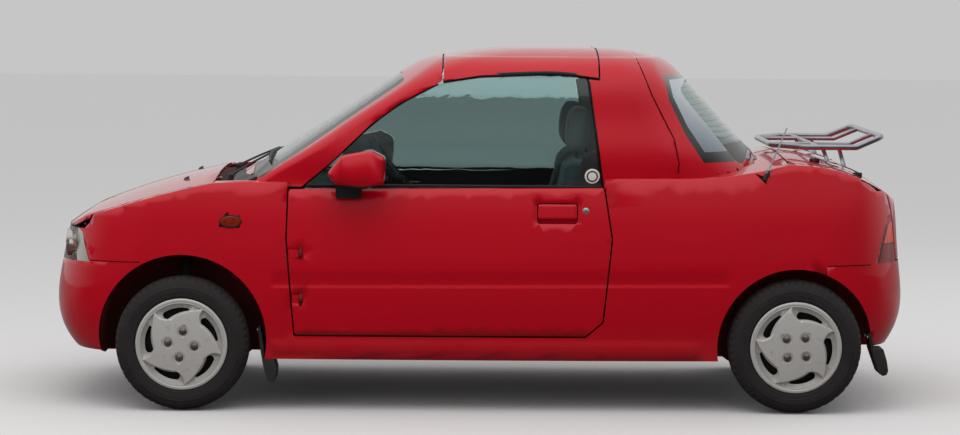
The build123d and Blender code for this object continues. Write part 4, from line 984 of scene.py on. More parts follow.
# (radius, distance out from the tyre's middle) of half a tyre, from the bead to the middle of the tread
TYRE_WALL = [
    (0.1596, 0.0560), (0.1625, 0.0585), (0.1660, 0.0598), (0.1700, 0.0600), (0.1735, 0.0600), (0.1748, 0.0618),
    (0.1762, 0.0648), (0.1785, 0.0672), (0.1815, 0.0688), (0.1832, 0.0698), (0.1846, 0.0698), (0.1860, 0.0694),
    (0.1920, 0.0712), (0.1985, 0.0722), (0.2050, 0.0724), (0.2105, 0.0718), (0.2120, 0.0722), (0.2135, 0.0722),
    (0.2150, 0.0711), (0.2230, 0.0690), (0.2310, 0.0650), (0.2380, 0.0600), (0.2430, 0.0552),
]
# distance out from the middle, radius, share of the tread depth cut there
TYRE_TREAD = [
    (0.0520, 0.2452, 0.0), (0.0500, 0.2462, 0.0), (0.0395, 0.2490, 0.0), (0.0385, 0.2492, 1.0),
    (0.0325, 0.2500, 1.0), (0.0315, 0.2502, 0.0), (0.0175, 0.2522, 0.0), (0.0165, 0.2523, 1.0),
    (0.0105, 0.2527, 1.0), (0.0095, 0.2528, 0.0), (0.0, 0.2530, 0.0),
]


def tyre_mesh(axle, side):
    """A tyre spun about its axle: moulded rings on the wall, three ribs and shoulder blocks on the tread."""
    depth = sizes().tread_depth
    blocks = sizes().tread_blocks
    half = TYRE_WALL + [(radius - depth * cut, out) for out, radius, cut in TYRE_TREAD]
    profile = half + [(radius, -out) for radius, out in reversed(half[:-1])]
    bm = bmesh.new()
    vertices = [bm.verts.new((radius, out, 0)) for radius, out in profile]
    edges = [bm.edges.new(pair) for pair in zip(vertices, vertices[1:])]
    edges.append(bm.edges.new((vertices[-1], vertices[0])))
    bmesh.ops.spin(
        bm, geom=vertices + edges, cent=(0, 0, 0), axis=(0, 1, 0), angle=2 * pi, steps=blocks * 4, use_merge=True)
    bmesh.ops.remove_doubles(bm, verts=bm.verts, dist=0.00001)
    bmesh.ops.recalc_face_normals(bm, faces=bm.faces)
    for vertex in bm.verts:
        radius = Vector((vertex.co.x, vertex.co.z)).length
        step = round(atan2(vertex.co.z, vertex.co.x) / (2 * pi) * blocks * 4) + (1 if vertex.co.y > 0 else 0)
        out = abs(vertex.co.y)
        shoulder = 0.0390 < out < 0.0580 and radius > 0.2405
        rib = 0.0170 < out < 0.0320 and radius > 0.2480
        if step % 4 == 0 and (shoulder or (rib and step % 8 == 0)):
            drop = depth * (0.8 if shoulder else 0.5)
            scale = (radius - drop) / radius
            vertex.co.x *= scale
            vertex.co.z *= scale
    bmesh.ops.translate(bm, verts=bm.verts, vec=(axle.x, side * TRACK_HALF, axle.z))
    return bm


class KEICAR_OT_tyres(bpy.types.Operator):
    """Makes the tyres, with moulded walls and a grooved tread"""

    bl_idname = "kei_car.tyres"
    bl_label = "Tyres"

    def execute(self, context):
        for tyre, body, axle, side in WHEELS:
            piece = finish_piece(tyre + "_moulded", tyre_mesh(axle, side), body, [tyre_rubber()], 38)
            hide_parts(tyre)
        return {"FINISHED"}


# slot, material, nodes
PLAIN = [
    ("black_plastic", black_plastic, ("cowl", "front_grille")),
    ("rubber_black", seal_rubber, ("weatherstrips",)),
    ("underbody_paint", inner_paint_and_shade, ("door_apertures", "wheel_housings", "underbody")),
    ("cast_alloy", dull_casting, ("engine",)),
    ("chassis_black", chassis_black,
     ("fuel_tank", "exhaust", "rear_axle", "front_suspension", "knuckle_left", "knuckle_right")),
    ("dark_trim", dark_trim, ("dashboard", "steering_wheel")),
]
PLAIN_CREASE = 34


def mast_face(centre, normal):
    """1 for the plated mast of the aerial, 0 for its black foot and tip."""
    return 1 if 0.908 < centre.z < 1.050 else 0


def rack_face(centre, normal):
    """1 for the rubber pads under the rack's feet, 0 for its tubes."""
    pad = 1.256 < centre.x < 1.295 or 1.421 < centre.x < 1.459
    return 1 if pad and centre.z < 0.955 and abs(centre.y) > 0.41 else 0


class KEICAR_OT_chassis(bpy.types.Operator):
    """Finishes the running gear, the floor and the plain fittings"""

    bl_idname = "kei_car.chassis"
    bl_label = "Chassis and fittings"

    def execute(self, context):
        for slot, material, nodes in PLAIN:
            for node in nodes:
                skin(node, [material()], PLAIN_CREASE)
        skin("antenna", [black_plastic(), plated_steel()], PLAIN_CREASE, mast_face)
        skin("luggage_rack", [plated_steel(), seal_rubber()], PLAIN_CREASE, rack_face)
        return {"FINISHED"}


class KEICAR_OT_mirrors(bpy.types.Operator):
    """Finishes the door mirrors: painted shell, black foot and silvered glass"""

    bl_idname = "kei_car.mirrors"
    bl_label = "Door mirrors"

    def execute(self, context):
        for tag, _ in SIDES:
            def choose(centre, normal):
                if normal.x > 0.9 and centre.z > 0.85 and abs(centre.y) > 0.69:
                    return 2
                return 1 if centre.z < 0.862 or abs(centre.y) < 0.668 else 0
            skin("mirror_" + tag, [crimson_paint(), black_plastic(), mirror_silver()], 40, choose)
        return {"FINISHED"}


# Trim that is placed on the body's surfaces

SEAL_RADIUS_INSIDE = 0.009
GLASS_THICK = 0.007
# x, z runs of the side window's edge, and the body that carries the seal there ({} is the side)
SEAL_RUNS = [
    ("pillar_seal_{}", "body", [
        (-0.690, 0.846), (-0.676, 0.846), (-0.571, 0.938), (-0.422, 1.080), (-0.310, 1.163), (-0.215, 1.212),
        (-0.168, 1.236)]),
    ("roof_seal_{}", "roof_panel_{}", [
        (-0.146, 1.243), (-0.080, 1.254), (-0.008, 1.264), (0.150, 1.272), (0.295, 1.277), (0.398, 1.263)]),
    ("hoop_seal_{}", "body", [(0.409, 1.245), (0.422, 1.150), (0.440, 1.000), (0.459, 0.852)]),
]
# x of the ends and z of the seal along the top of a door
BELT_ENDS = (-0.655, 0.440)
BELT_HEIGHT = 0.8485
CORNER_TRIM = [
    (0.268, 0.851), (0.318, 0.856), (0.350, 0.874), (0.366, 0.905), (0.374, 0.945), (0.386, 0.972), (0.404, 0.986),
    (0.430, 0.990), (0.437, 0.986), (0.452, 0.853),
]
BADGE_CENTRE = (0.416, 0.893)
LOCK_CENTRE = (0.391, 0.766)
MARKER_CENTRE = (-0.939, 0.717)
MARKER_HALF = (0.0375, 0.0205)


def near_surface(node, x, z, side, guess):
    """The outer y of a node near x, z, also just beyond its edge."""
    try:
        return flank(node, x, z, side)[0].y
    except RuntimeError:
        return TREES[node].find_nearest(Vector((x, side * guess, z)))[0].y


def plate(name, node, outline, side, body, material, lift, thick, guess=0.6, cells=8):
    """A thin shaped plate laid on the outer surface of a node, from its outline in the side view."""
    bm = bmesh.new()
    corners = [bm.verts.new((x, 0, z)) for x, z in outline]
    bm.faces.new(corners)
    for axis, values in ((0, [p[0] for p in outline]), (2, [p[1] for p in outline])):
        for step in range(1, cells):
            place = min(values) + (max(values) - min(values)) * step / cells
            normal = Vector((1, 0, 0)) if axis == 0 else Vector((0, 0, 1))
            bmesh.ops.bisect_plane(
                bm, geom=bm.verts[:] + bm.edges[:] + bm.faces[:], plane_co=normal * place, plane_no=normal)
    for vertex in bm.verts:
        vertex.co.y = near_surface(node, vertex.co.x, vertex.co.z, side, guess) + side * lift
    grown = bmesh.ops.extrude_face_region(bm, geom=bm.faces[:])
    new = [g for g in grown["geom"] if isinstance(g, bmesh.types.BMVert)]
    bmesh.ops.translate(bm, verts=new, vec=(0, side * thick, 0))
    bmesh.ops.recalc_face_normals(bm, faces=bm.faces)
    rim = [e for e in bm.edges if len(e.link_faces) == 2 and e.calc_face_angle(0) > radians(50)
           and all(v in set(new) for v in e.verts)]
    round_edges(bm, rim, thick * 0.35)
    return finish_piece(name, bm, body, [material])


def disc_on(bm, node, x, z, side, profile, steps=40):
    """A small turned piece standing on the outer surface of a node; profile is (radius, height)."""
    place, normal = flank(node, x, z, side)
    lathe(bm, profile, Matrix.Translation(place) @ facing(normal), steps)


# z of each door hinge; x, z of each hinge cover's ends
HINGE_COVERS = [(0.430, -0.7075, -0.6645), (0.600, -0.7215, -0.6645)]
HINGE_COVER_HALF = 0.0160
# node whose surface carries the seam; x, z points
PANEL_SEAMS = [
    ("front_fenders", [(-1.474, 0.5618), (-1.252, 0.5618)]),
    ("quarter_left", [(1.302, 0.5636), (1.496, 0.5640)]),
    ("roof_hoop", [(0.590, 1.330), (0.642, 1.197), (0.726, 1.031), (0.743, 0.940), (0.740, 0.900)]),
]
SEAM_RADIUS = 0.0018


class KEICAR_OT_panel_details(bpy.types.Operator):
    """Covers the door hinges and draws the dark joints between fixed panels"""

    bl_idname = "kei_car.panel_details"
    bl_label = "Panel details"

    def execute(self, context):
        for tag, side in SIDES:
            door = "door_" + tag
            bm = bmesh.new()
            for level, front, back in HINGE_COVERS:
                rows = []
                for step in range(6):
                    x = front + (back - front) * step / 5
                    row = []
                    for up in (-1, 1):
                        y = near_surface(door, x, level + up * (HINGE_COVER_HALF + 0.003), side, 0.69)
                        for lift in (0.0004, 0.0010):
                            row.append(bm.verts.new((x, y + side * lift, level + up * HINGE_COVER_HALF)))
                    rows.append(row)
                for near, far in zip(rows, rows[1:]):
                    for first, second in ((1, 3), (3, 2), (2, 0), (0, 1)):
                        bm.faces.new((near[first], near[second], far[second], far[first]))
                for row in (rows[0], rows[-1]):
                    bm.faces.new((row[0], row[1], row[3], row[2]))
            bmesh.ops.recalc_face_normals(bm, faces=bm.faces)
            finish_piece("hinge_covers_" + tag, bm, door, [crimson_paint()])
            bm = bmesh.new()
            for node, run in PANEL_SEAMS:
                node = node.replace("left", tag)
                points = []
                for start, end in zip(run, run[1:]):
                    for step in range(8):
                        x = start[0] + (end[0] - start[0]) * step / 8
                        z = start[1] + (end[1] - start[1]) * step / 8
                        inside = x - 0.003 if node == "roof_hoop" else x
                        points.append((x, near_surface(node, inside, z + 0.001, side, 0.66), z))
                join_into(bm, tube_bm(points, SEAM_RADIUS, smooth=False))
            finish_piece("panel_seams_" + tag, bm, "body", [gap_shade()])
        return {"FINISHED"}


class KEICAR_OT_seals(bpy.types.Operator):
    """Runs the rubber seals round the side windows and along the top of the doors"""

    bl_idname = "kei_car.seals"
    bl_label = "Window seals"

    def execute(self, context):
        for tag, side in SIDES:
            glass = "door_glass_" + tag
            for name, body, run in SEAL_RUNS:
                points = []
                for x, z in run:
                    y = near_surface(glass, x + (0.010 if x < 0 else -0.010), z - 0.008, side, 0.58)
                    points.append((x, y - side * (GLASS_THICK + SEAL_RADIUS_INSIDE + 0.0006), z))
                bm = tube_bm(points, SEAL_RADIUS_INSIDE)
                finish_piece(name.format(tag), bm, body.format(tag), [seal_rubber()])
            radius = sizes().seal_radius
            points = []
            for step in range(15):
                x = BELT_ENDS[0] + (BELT_ENDS[1] - BELT_ENDS[0]) * step / 14
                y = near_surface(glass, x, 0.858, side, 0.62)
                points.append((x, y + side * (radius + 0.0008), BELT_HEIGHT + radius * 0.55))
            bm = tube_bm(points, radius)
            finish_piece("belt_seal_" + tag, bm, "door_" + tag, [seal_rubber()])
        return {"FINISHED"}


class KEICAR_OT_door_fittings(bpy.types.Operator):
    """Adds the window corner trim with its bare badge place, the door lock and the side marker bezel"""

    bl_idname = "kei_car.door_fittings"
    bl_label = "Door fittings"

    def execute(self, context):
        for tag, side in SIDES:
            door, glass = "door_" + tag, "door_glass_" + tag
            plate("corner_trim_" + tag, glass, CORNER_TRIM, side, door, black_plastic(),
                  lift=0.0008, thick=0.0035)
            bm = bmesh.new()
            disc_on(bm, glass, *BADGE_CENTRE, side, [
                (0.0, 0.0072), (0.0255, 0.0072), (0.0275, 0.0066), (0.0285, 0.0050), (0.0285, 0.0020), (0.0, 0.0020)])
            finish_piece("blank_badge_" + tag, bm, door, [pale_enamel()])
            bm = bmesh.new()
            disc_on(bm, glass, *BADGE_CENTRE, side, [
                (0.0160, 0.0074), (0.0215, 0.0074), (0.0215, 0.0060), (0.0160, 0.0060), (0.0160, 0.0074)])
            finish_piece("badge_ring_" + tag, bm, door, [black_plastic()])
            bm = bmesh.new()
            disc_on(bm, door, *LOCK_CENTRE, side, [
                (0.0, 0.0024), (0.0085, 0.0024), (0.0100, 0.0018), (0.0108, 0.0005), (0.0125, 0.0004),
                (0.0128, -0.003), (0.0, -0.003)])
            finish_piece("door_lock_" + tag, bm, door, [bright_metal()])
            bm = bmesh.new()
            place = flank(door, *LOCK_CENTRE, side)[0]
            block(bm, place + Vector((-0.0009, -0.0030, -0.0045)), place + Vector((0.0009, 0.0030, 0.0045)), 0.0004)
            finish_piece("key_slot_" + tag, bm, door, [black_plastic()])
            points = []
            for step in range(28):
                angle = 2 * pi * step / 28
                x = MARKER_CENTRE[0] + (MARKER_HALF[0] + 0.0015) * cos(angle)
                z = MARKER_CENTRE[1] + (MARKER_HALF[1] + 0.0015) * sin(angle)
                points.append((x, near_surface("front_fenders", x, z, side, 0.66) + side * 0.0010, z))
            bm = tube_bm(points, 0.0034, closed=True)
            finish_piece("marker_bezel_" + tag, bm, "body", [seal_rubber()])
        return {"FINISHED"}


# tag, y of the pivot, y of the blade's middle, half length of the blade
WIPERS = [("near", -0.400, -0.190, 0.200), ("far", 0.090, 0.300, 0.215)]
PIVOT_YS = [pivot for _, pivot, _, _ in WIPERS]
# x of a blade at the car's middle, its lean from end to end, and how it follows the curved screen
BLADE_X = -0.845
BLADE_LEAN = 0.009
BLADE_BOW = 0.0475
SCREEN_NORMAL = Vector((-0.55, 0, 0.835))
# lift off the glass of the yoke, the bridge and the blade's spine, and their radii
YOKE_LIFT = 0.015
SPINE_LIFT = 0.010
ARM_RADIUS = 0.0042
YOKE_RADIUS = 0.0028
BRIDGE_RADIUS = 0.0025
SPINE_RADIUS = 0.0030
LOUVRES = 34


class KEICAR_OT_screen_fittings(bpy.types.Operator):
    """Adds the wipers, the washer jets and the cowl louvres"""

    bl_idname = "kei_car.screen_fittings"
    bl_label = "Wipers and jets"

    def execute(self, context):
        for tag, pivot_y, blade_y, half in WIPERS:
            base = touch("cowl", (-0.958, pivot_y, 1.3), (0, 0, -1))[0]
            bm = bmesh.new()
            rod(bm, base - Vector((0, 0, 0.006)), base + Vector((0.002, 0, 0.020)), 0.011, 0.009, 24, 0.002)
            rod(bm, base + Vector((0.001, 0, 0.014)), base + Vector((0.003, 0, 0.030)), 0.0125, 0.0105, 24, 0.002)
            blade = []
            for step in range(9):
                y = blade_y + half * (step / 4 - 1)
                x = BLADE_X + BLADE_LEAN * (y - blade_y) / half + BLADE_BOW * y * y
                blade.append(touch("windshield", (x - 0.30, y, 1.35), (0.62, 0, -0.78))[0])
            head = base + Vector((0.003, 0, 0.026))
            raised = [point + SCREEN_NORMAL * YOKE_LIFT for point in blade]
            spine = [point + SCREEN_NORMAL * SPINE_LIFT for point in blade]
            arm = [head.lerp(raised[4], share) + SCREEN_NORMAL * 0.002 for share in (0.35, 0.7)]
            join_into(bm, tube_bm([head, *arm, raised[4]], ARM_RADIUS))
            join_into(bm, tube_bm(spine, SPINE_RADIUS))
            for low, high in ((1, 3), (5, 7)):
                top = (blade[low] + blade[high]) / 2 + SCREEN_NORMAL * YOKE_LIFT
                join_into(bm, tube_bm([spine[low], top, spine[high]], BRIDGE_RADIUS))
            join_into(bm, tube_bm([raised[2], raised[4], raised[6]], YOKE_RADIUS))
            finish_piece("wiper_" + tag, bm, "body", [black_plastic()], 45)
            bm = bmesh.new()
            for start, end in zip(blade, blade[1:]):
                for lift, radius in ((0.0010, 0.0022), (0.0060, 0.0030)):
                    rod(bm, start + SCREEN_NORMAL * lift, end + SCREEN_NORMAL * lift, radius, segments=8)
            finish_piece("wiper_rubber_" + tag, bm, "body", [seal_rubber()], 45)
        bm = bmesh.new()
        for side in (-1, 1):
            place, normal = touch("hood", (-1.136, side * 0.310, 1.3), (0, 0, -1))
            lathe(bm, [(0.0, 0.0085), (0.0040, 0.0080), (0.0075, 0.0055), (0.0105, 0.0022), (0.0125, 0.0004),
                       (0.0125, -0.003), (0.0, -0.003)], Matrix.Translation(place) @ facing(normal), 28)
            tip = place + normal * 0.006
            rod(bm, tip, tip + Vector((0.012, 0, 0.004)), 0.0032, 0.0024, 16)
        finish_piece("washer_jets", bm, "hood", [black_plastic()])
        bm = bmesh.new()
        for step in range(LOUVRES):
            y = -0.50 + step / (LOUVRES - 1)
            if any(abs(y - pivot) < 0.03 for pivot in PIVOT_YS):
                continue
            place, normal = touch("cowl", (-0.962, y, 1.3), (0, 0, -1))
            block(bm, place + Vector((-0.017, -0.0028, -0.002)), place + Vector((0.017, 0.0028, 0.003)), 0.001, 1)
        finish_piece("cowl_louvres", bm, "body", [black_plastic()])
        return {"FINISHED"}


class KEICAR_OT_lamp_insides(bpy.types.Operator):
    """Sets a plated bowl and a bulb in each headlamp"""

    bl_idname = "kei_car.lamp_insides"
    bl_label = "Headlamp bowls"

    def execute(self, context):
        bowls = bmesh.new()
        bulbs = bmesh.new()
        for side in (-1, 1):
            place = Matrix.Translation((-1.5235, side * 0.450, 0.618)) @ FACING_FRONT
            profile = [(0.020, -0.002), (0.024, 0.004), (0.034, 0.014), (0.043, 0.028), (0.0485, 0.044),
                       (0.0505, 0.052), (0.0520, 0.052), (0.0500, 0.043), (0.0445, 0.026), (0.035, 0.011),
                       (0.026, 0.000), (0.020, -0.002)]
            lathe(bowls, profile, place, 48)
            lathe(bulbs, [(0.0, 0.040), (0.0045, 0.038), (0.0065, 0.033), (0.0065, 0.010), (0.011, 0.008),
                          (0.013, 0.0), (0.0, 0.0)], place, 24)
            outer = Matrix.Translation((-1.5265, side * 0.590, 0.618)) @ FACING_FRONT
            lathe(bowls, [(0.008, 0.0), (0.014, 0.004), (0.021, 0.014), (0.0235, 0.022), (0.0245, 0.022),
                          (0.022, 0.012), (0.015, 0.002), (0.008, 0.0)], outer, 32)
            lathe(bulbs, [(0.0, 0.018), (0.0045, 0.016), (0.0060, 0.011), (0.0060, 0.0), (0.0, 0.0)], outer, 20)
        finish_piece("headlamp_bowls", bowls, "body", [lamp_reflector()])
        finish_piece("headlamp_bulbs", bulbs, "body", [pale_enamel()])
        return {"FINISHED"}


class KEICAR_OT_rear_plate(bpy.types.Operator):
    """Fixes the blank rear plate in its recess, and the boot lock"""

    bl_idname = "kei_car.rear_plate"
    bl_label = "Blank plate"

    def execute(self, context):
        bm = bmesh.new()
        block(bm, (1.6296, -0.165, 0.378), (1.6320, 0.165, 0.518), 0.0009)
        finish_piece("blank_rear_plate", bm, "body", [pale_enamel()])
        bm = bmesh.new()
        for y in (-0.110, 0.110):
            lathe(bm, [(0.0, 0.0048), (0.0045, 0.0044), (0.0070, 0.0024), (0.0072, -0.001), (0.0, -0.001)],
                  Matrix.Translation((1.6318, y, 0.500)) @ FACING_REAR, 20)
        finish_piece("plate_bolts", bm, "body", [bright_metal()])
        bm = bmesh.new()
        place, normal = touch("trunk_lid", (1.9, 0.0, 0.660), (-1, 0, 0))
        lathe(bm, [(0.0, 0.0030), (0.0100, 0.0030), (0.0118, 0.0022), (0.0126, 0.0005), (0.0150, 0.0004),
                   (0.0152, -0.003), (0.0, -0.003)], Matrix.Translation(place) @ facing(normal), 32)
        finish_piece("boot_lock", bm, "boot_lid", [bright_metal()])
        return {"FINISHED"}


# side profile x, z; inner and outer y
MUDFLAPS = [
    ([(-0.8380, 0.3180), (-0.8265, 0.3180), (-0.8150, 0.250), (-0.8145, 0.1965), (-0.7760, 0.1965),
      (-0.7660, 0.155), (-0.7700, 0.118), (-0.7850, 0.110), (-0.8000, 0.118), (-0.8160, 0.165),
      (-0.8290, 0.240)], 0.520, 0.655),
    ([(1.4660, 0.3000), (1.4790, 0.3000), (1.4845, 0.256), (1.4870, 0.2455), (1.5240, 0.2455),
      (1.5380, 0.200), (1.5440, 0.162), (1.5380, 0.147), (1.5240, 0.142), (1.5080, 0.152),
      (1.4920, 0.195), (1.4760, 0.240)], 0.520, 0.625),
]
MUDFLAP_ROUND = 0.0028
SCREW_INSET = 0.022
SCREW_PROFILE = [(0.0, 0.0030), (0.0040, 0.0028), (0.0062, 0.0012), (0.0064, -0.003), (0.0, -0.003)]


class KEICAR_OT_mudflaps(bpy.types.Operator):
    """Makes the thick rubber mudflaps, with their pale screws"""

    bl_idname = "kei_car.mudflaps"
    bl_label = "Mudflaps"

    def execute(self, context):
        rubber = bmesh.new()
        screws = bmesh.new()
        for outline, inner, outer in MUDFLAPS:
            for side in (-1, 1):
                low, high = sorted((side * inner, side * outer))
                corners = [rubber.verts.new((x, low, z)) for x, z in outline]
                face = rubber.faces.new(corners)
                grown = bmesh.ops.extrude_face_region(rubber, geom=[face])
                new = [g for g in grown["geom"] if isinstance(g, bmesh.types.BMVert)]
                bmesh.ops.translate(rubber, verts=new, vec=(0, high - low, 0))
                mine = set(corners) | set(new)
                edges = {e for v in mine for e in v.link_edges}
                round_edges(rubber, edges, MUDFLAP_ROUND, 3)
                for y in (side * (inner + SCREW_INSET), side * (outer - SCREW_INSET)):
                    place = Matrix.Translation((outline[0][0] - 0.001, y, outline[0][1] - 0.012))
                    lathe(screws, SCREW_PROFILE, place @ FACING_FRONT, 16)
        bmesh.ops.recalc_face_normals(rubber, faces=rubber.faces)
        piece = finish_piece("moulded_mudflaps", rubber, "body", [seal_rubber()])
        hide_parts("mudflaps")
        finish_piece("mudflap_screws", screws, "body", [bright_metal()])
        return {"FINISHED"}


class KEICAR_OT_cabin_fittings(bpy.types.Operator):
    """Fits out the cabin: dash top, vents, dials, selector, brake lever, pedals, mirror and armrests"""

    bl_idname = "kei_car.cabin_fittings"
    bl_label = "Cabin fittings"

    def execute(self, context):
        dark = bmesh.new()
        rear = touch("dashboard", (0.4, 0.30, 0.800), (-1, 0, 0))[0].x
        top = touch("dashboard", (-0.45, 0.30, 1.3), (0, 0, -1))[0].z
        block(dark, (rear - 0.150, 0.140, top - 0.02), (rear - 0.004, 0.460, top + 0.045), 0.018, 4)
        for y in (-0.500, -0.075, 0.075, 0.500):
            for row in range(4):
                z = 0.745 + row * 0.012
                face = touch("dashboard", (0.4, y, z), (-1, 0, 0))[0].x
                block(dark, (face - 0.004, y - 0.042, z - 0.0022), (face + 0.004, y + 0.042, z + 0.0022), 0.001, 1)
        face = touch("dashboard", (0.4, 0.0, 0.68), (-1, 0, 0))[0].x
        block(dark, (face - 0.004, -0.092, 0.640), (face + 0.006, 0.092, 0.692), 0.003)
        finish_piece("dash_fittings", dark, "body", [dark_trim()])
        dials = bmesh.new()
        for y, radius in ((0.225, 0.028), (0.300, 0.040), (0.375, 0.028)):
            lathe(dials, [(0.0, 0.002), (radius, 0.002), (radius + 0.003, 0.006), (radius + 0.005, 0.006),
                          (radius + 0.006, -0.004), (0.0, -0.004)],
                  Matrix.Translation((rear - 0.002, y, top + 0.004)) @ FACING_REAR, 40)
        finish_piece("dials", dials, "body", [black_plastic()])
        lever = bmesh.new()
        block(lever, (-0.290, -0.050, 0.321), (-0.080, 0.050, 0.346), 0.010, 3)
        rod(lever, (-0.200, 0.0, 0.340), (-0.215, 0.0, 0.455), 0.0065, segments=20)
        rod(lever, (-0.214, 0.0, 0.450), (-0.219, 0.0, 0.498), 0.017, 0.020, 28, 0.006)
        block(lever, (0.020, -0.030, 0.321), (0.190, 0.030, 0.338), 0.008, 3)
        rod(lever, (0.150, 0.0, 0.335), (0.010, 0.0, 0.400), 0.010, 0.012, 24)
        rod(lever, (0.020, 0.0, 0.395), (-0.075, 0.0, 0.432), 0.0155, 0.0145, 24, 0.005)
        finish_piece("selector_and_brake", lever, "body", [dark_trim()])
        pedals = bmesh.new()
        for y, half, low in ((0.300, 0.040, 0.330), (0.400, 0.022, 0.300)):
            block(pedals, (-0.690, y - half, low), (-0.676, y + half, low + 0.062), 0.004, 2,
                  Matrix.Rotation(radians(-25), 4, "Y"))
            rod(pedals, (-0.690, y, low + 0.040), (-0.740, y, 0.560), 0.007, segments=16)
        finish_piece("pedals", pedals, "body", [black_plastic()])
        mirror = bmesh.new()
        glass = touch("windshield", (0.2, 0.0, 1.185), (-1, 0, 0))[0]
        head = Vector((glass.x + 0.085, 0.0, 1.165))
        rod(mirror, glass + Vector((0.0015, 0, 0)), glass + Vector((0.008, 0, -0.002)), 0.018, segments=28)
        rod(mirror, glass + Vector((0.006, 0, -0.002)), head + Vector((-0.012, 0, 0.0)), 0.006, segments=16)
        block(mirror, head + Vector((-0.014, -0.105, -0.028)), head + Vector((0.010, 0.105, 0.028)), 0.011, 4)
        finish_piece("inner_mirror", mirror, "body", [black_plastic()])
        silver = bmesh.new()
        block(silver, head + Vector((0.0095, -0.096, -0.020)), head + Vector((0.0112, 0.096, 0.020)), 0.0006)
        finish_piece("inner_mirror_glass", silver, "body", [mirror_silver()])
        for tag, side in SIDES:
            door = "door_" + tag
            rest = bmesh.new()
            wall = touch(door, (0.05, 0.0, 0.640), (0, side, 0))[0].y
            near, far = sorted((wall - side * 0.042, wall + side * 0.002))
            block(rest, (-0.180, near, 0.605), (0.260, far, 0.650), 0.014, 4)
            near, far = sorted((wall - side * 0.014, wall + side * 0.002))
            block(rest, (-0.330, near, 0.735), (-0.215, far, 0.770), 0.005, 3)
            block(rest, (-0.520, near, 0.330), (0.180, far, 0.430), 0.006, 3)
            finish_piece("armrest_" + tag, rest, door, [dark_trim()])
            handle = bmesh.new()
            near, far = sorted((wall - side * 0.022, wall - side * 0.012))
            block(handle, (-0.305, near, 0.745), (-0.245, far, 0.760), 0.003, 3)
            finish_piece("inner_handle_" + tag, handle, door, [bright_metal()])
        return {"FINISHED"}


# Seats

SEAT_Y = 0.300


def soft_block(length, width, thick, crown, taper=0.0):
    """A closed block lying flat, its sides rounded and its top crowned, to be filled afterwards."""
    bm = bmesh.new()
    made = bmesh.ops.create_cube(bm, size=1.0, matrix=Matrix.Diagonal((length, width, thick, 1.0)))
    round_edges(bm, {e for v in made["verts"] for e in v.link_edges}, min(thick, width) * 0.26, 5)
    bmesh.ops.subdivide_edges(bm, edges=[e for e in bm.edges if e.calc_length() > 0.05], cuts=5, use_grid_fill=True)
    for vertex in bm.verts:
        along, across = vertex.co.x / length, vertex.co.y / width
        if vertex.co.z > 0:
            vertex.co.z += crown * (1 - 4 * along * along) * (1 - 4 * across * across)
        vertex.co.y *= 1 - taper * (along + 0.5)
    return bm


def puffed(name, bm, cap, voxel=0.009):
    """The mesh of a stuffed piece: remeshed evenly, blown up as cloth to at most cap, and smoothed."""
    mesh = bpy.data.meshes.new(name)
    bm.to_mesh(mesh)
    bm.free()
    scene = bpy.context.scene
    carrier = bpy.data.objects.new(name + "_form", mesh)
    scene.collection.objects.link(carrier)
    remesh = carrier.modifiers.new("even", "REMESH")
    remesh.mode = "VOXEL"
    remesh.voxel_size = voxel
    even = bpy.data.meshes.new_from_object(carrier.evaluated_get(bpy.context.evaluated_depsgraph_get()))
    carrier.modifiers.clear()
    carrier.data = even
    cloth = carrier.modifiers.new("filling", "CLOTH")
    cloth.settings.use_pressure = True
    cloth.settings.uniform_pressure_force = 4.0
    cloth.settings.effector_weights.gravity = 0.0
    cloth.settings.quality = 4
    cloth.point_cache.frame_start = 1
    cloth.point_cache.frame_end = 20
    for step in range(1, 21):
        scene.frame_set(step)
    blown = bpy.data.meshes.new_from_object(carrier.evaluated_get(bpy.context.evaluated_depsgraph_get()))
    for vertex, start in zip(blown.vertices, even.vertices):
        shift = vertex.co - start.co
        if shift.length > cap:
            vertex.co = start.co + shift.normalized() * cap
    scene.frame_set(1)
    carrier.modifiers.clear()
    carrier.data = blown
    bm = bmesh.new()
    bm.from_mesh(carrier.data)
    bpy.data.objects.remove(carrier)
    bmesh.ops.smooth_vert(bm, verts=bm.verts, factor=0.5, use_axis_x=True, use_axis_y=True, use_axis_z=True)
    return bm


def sew(bm, seams, depth=0.005, width=0.006):
    """Draws sewn channels into a padded form: each seam is (axis, place), across the form's upper side."""
    bm.normal_update()
    moves = []
    for vertex in bm.verts:
        pull = 0.0
        for axis, place in seams:
            away = abs(vertex.co[axis] - place)
            if vertex.normal.z > -0.2:
                pull = max(pull, 1 - away / (width * 1.8) if away < width * 1.8 else 0.0)
        moves.append(vertex.normal * (-depth * pull * pull * (3 - 2 * pull)))
    for vertex, move in zip(bm.verts, moves):
        vertex.co += move


# name, length, width, thickness, crown, taper, seams (axis, place), centre x and z, lean in degrees
FRONT_PADS = [
    ("cushion", 0.470, 0.425, 0.112, 0.010, 0.04,
     [(1, -0.142), (1, 0.142), (0, -0.150), (0, -0.020), (0, 0.110)], (0.085, 0.400), 4.0),
    ("back", 0.520, 0.425, 0.092, 0.008, 0.10,
     [(1, -0.136), (1, 0.136), (0, -0.140), (0, 0.010), (0, 0.150)], (0.358, 0.712), -81.6),
    ("headrest", 0.170, 0.235, 0.070, 0.006, 0.06, [(1, -0.088), (1, 0.088)], (0.374, 1.055), -84.0),
]
REAR_PADS = [
    ("cushion", 0.215, 0.900, 0.085, 0.006, 0.0,
     [(1, -0.225), (1, 0.0), (1, 0.225)], (0.688, 0.420), 5.0),
    ("back", 0.320, 0.900, 0.055, 0.005, 0.0,
     [(1, -0.225), (1, 0.0), (1, 0.225)], (0.836, 0.628), -88.0),
]


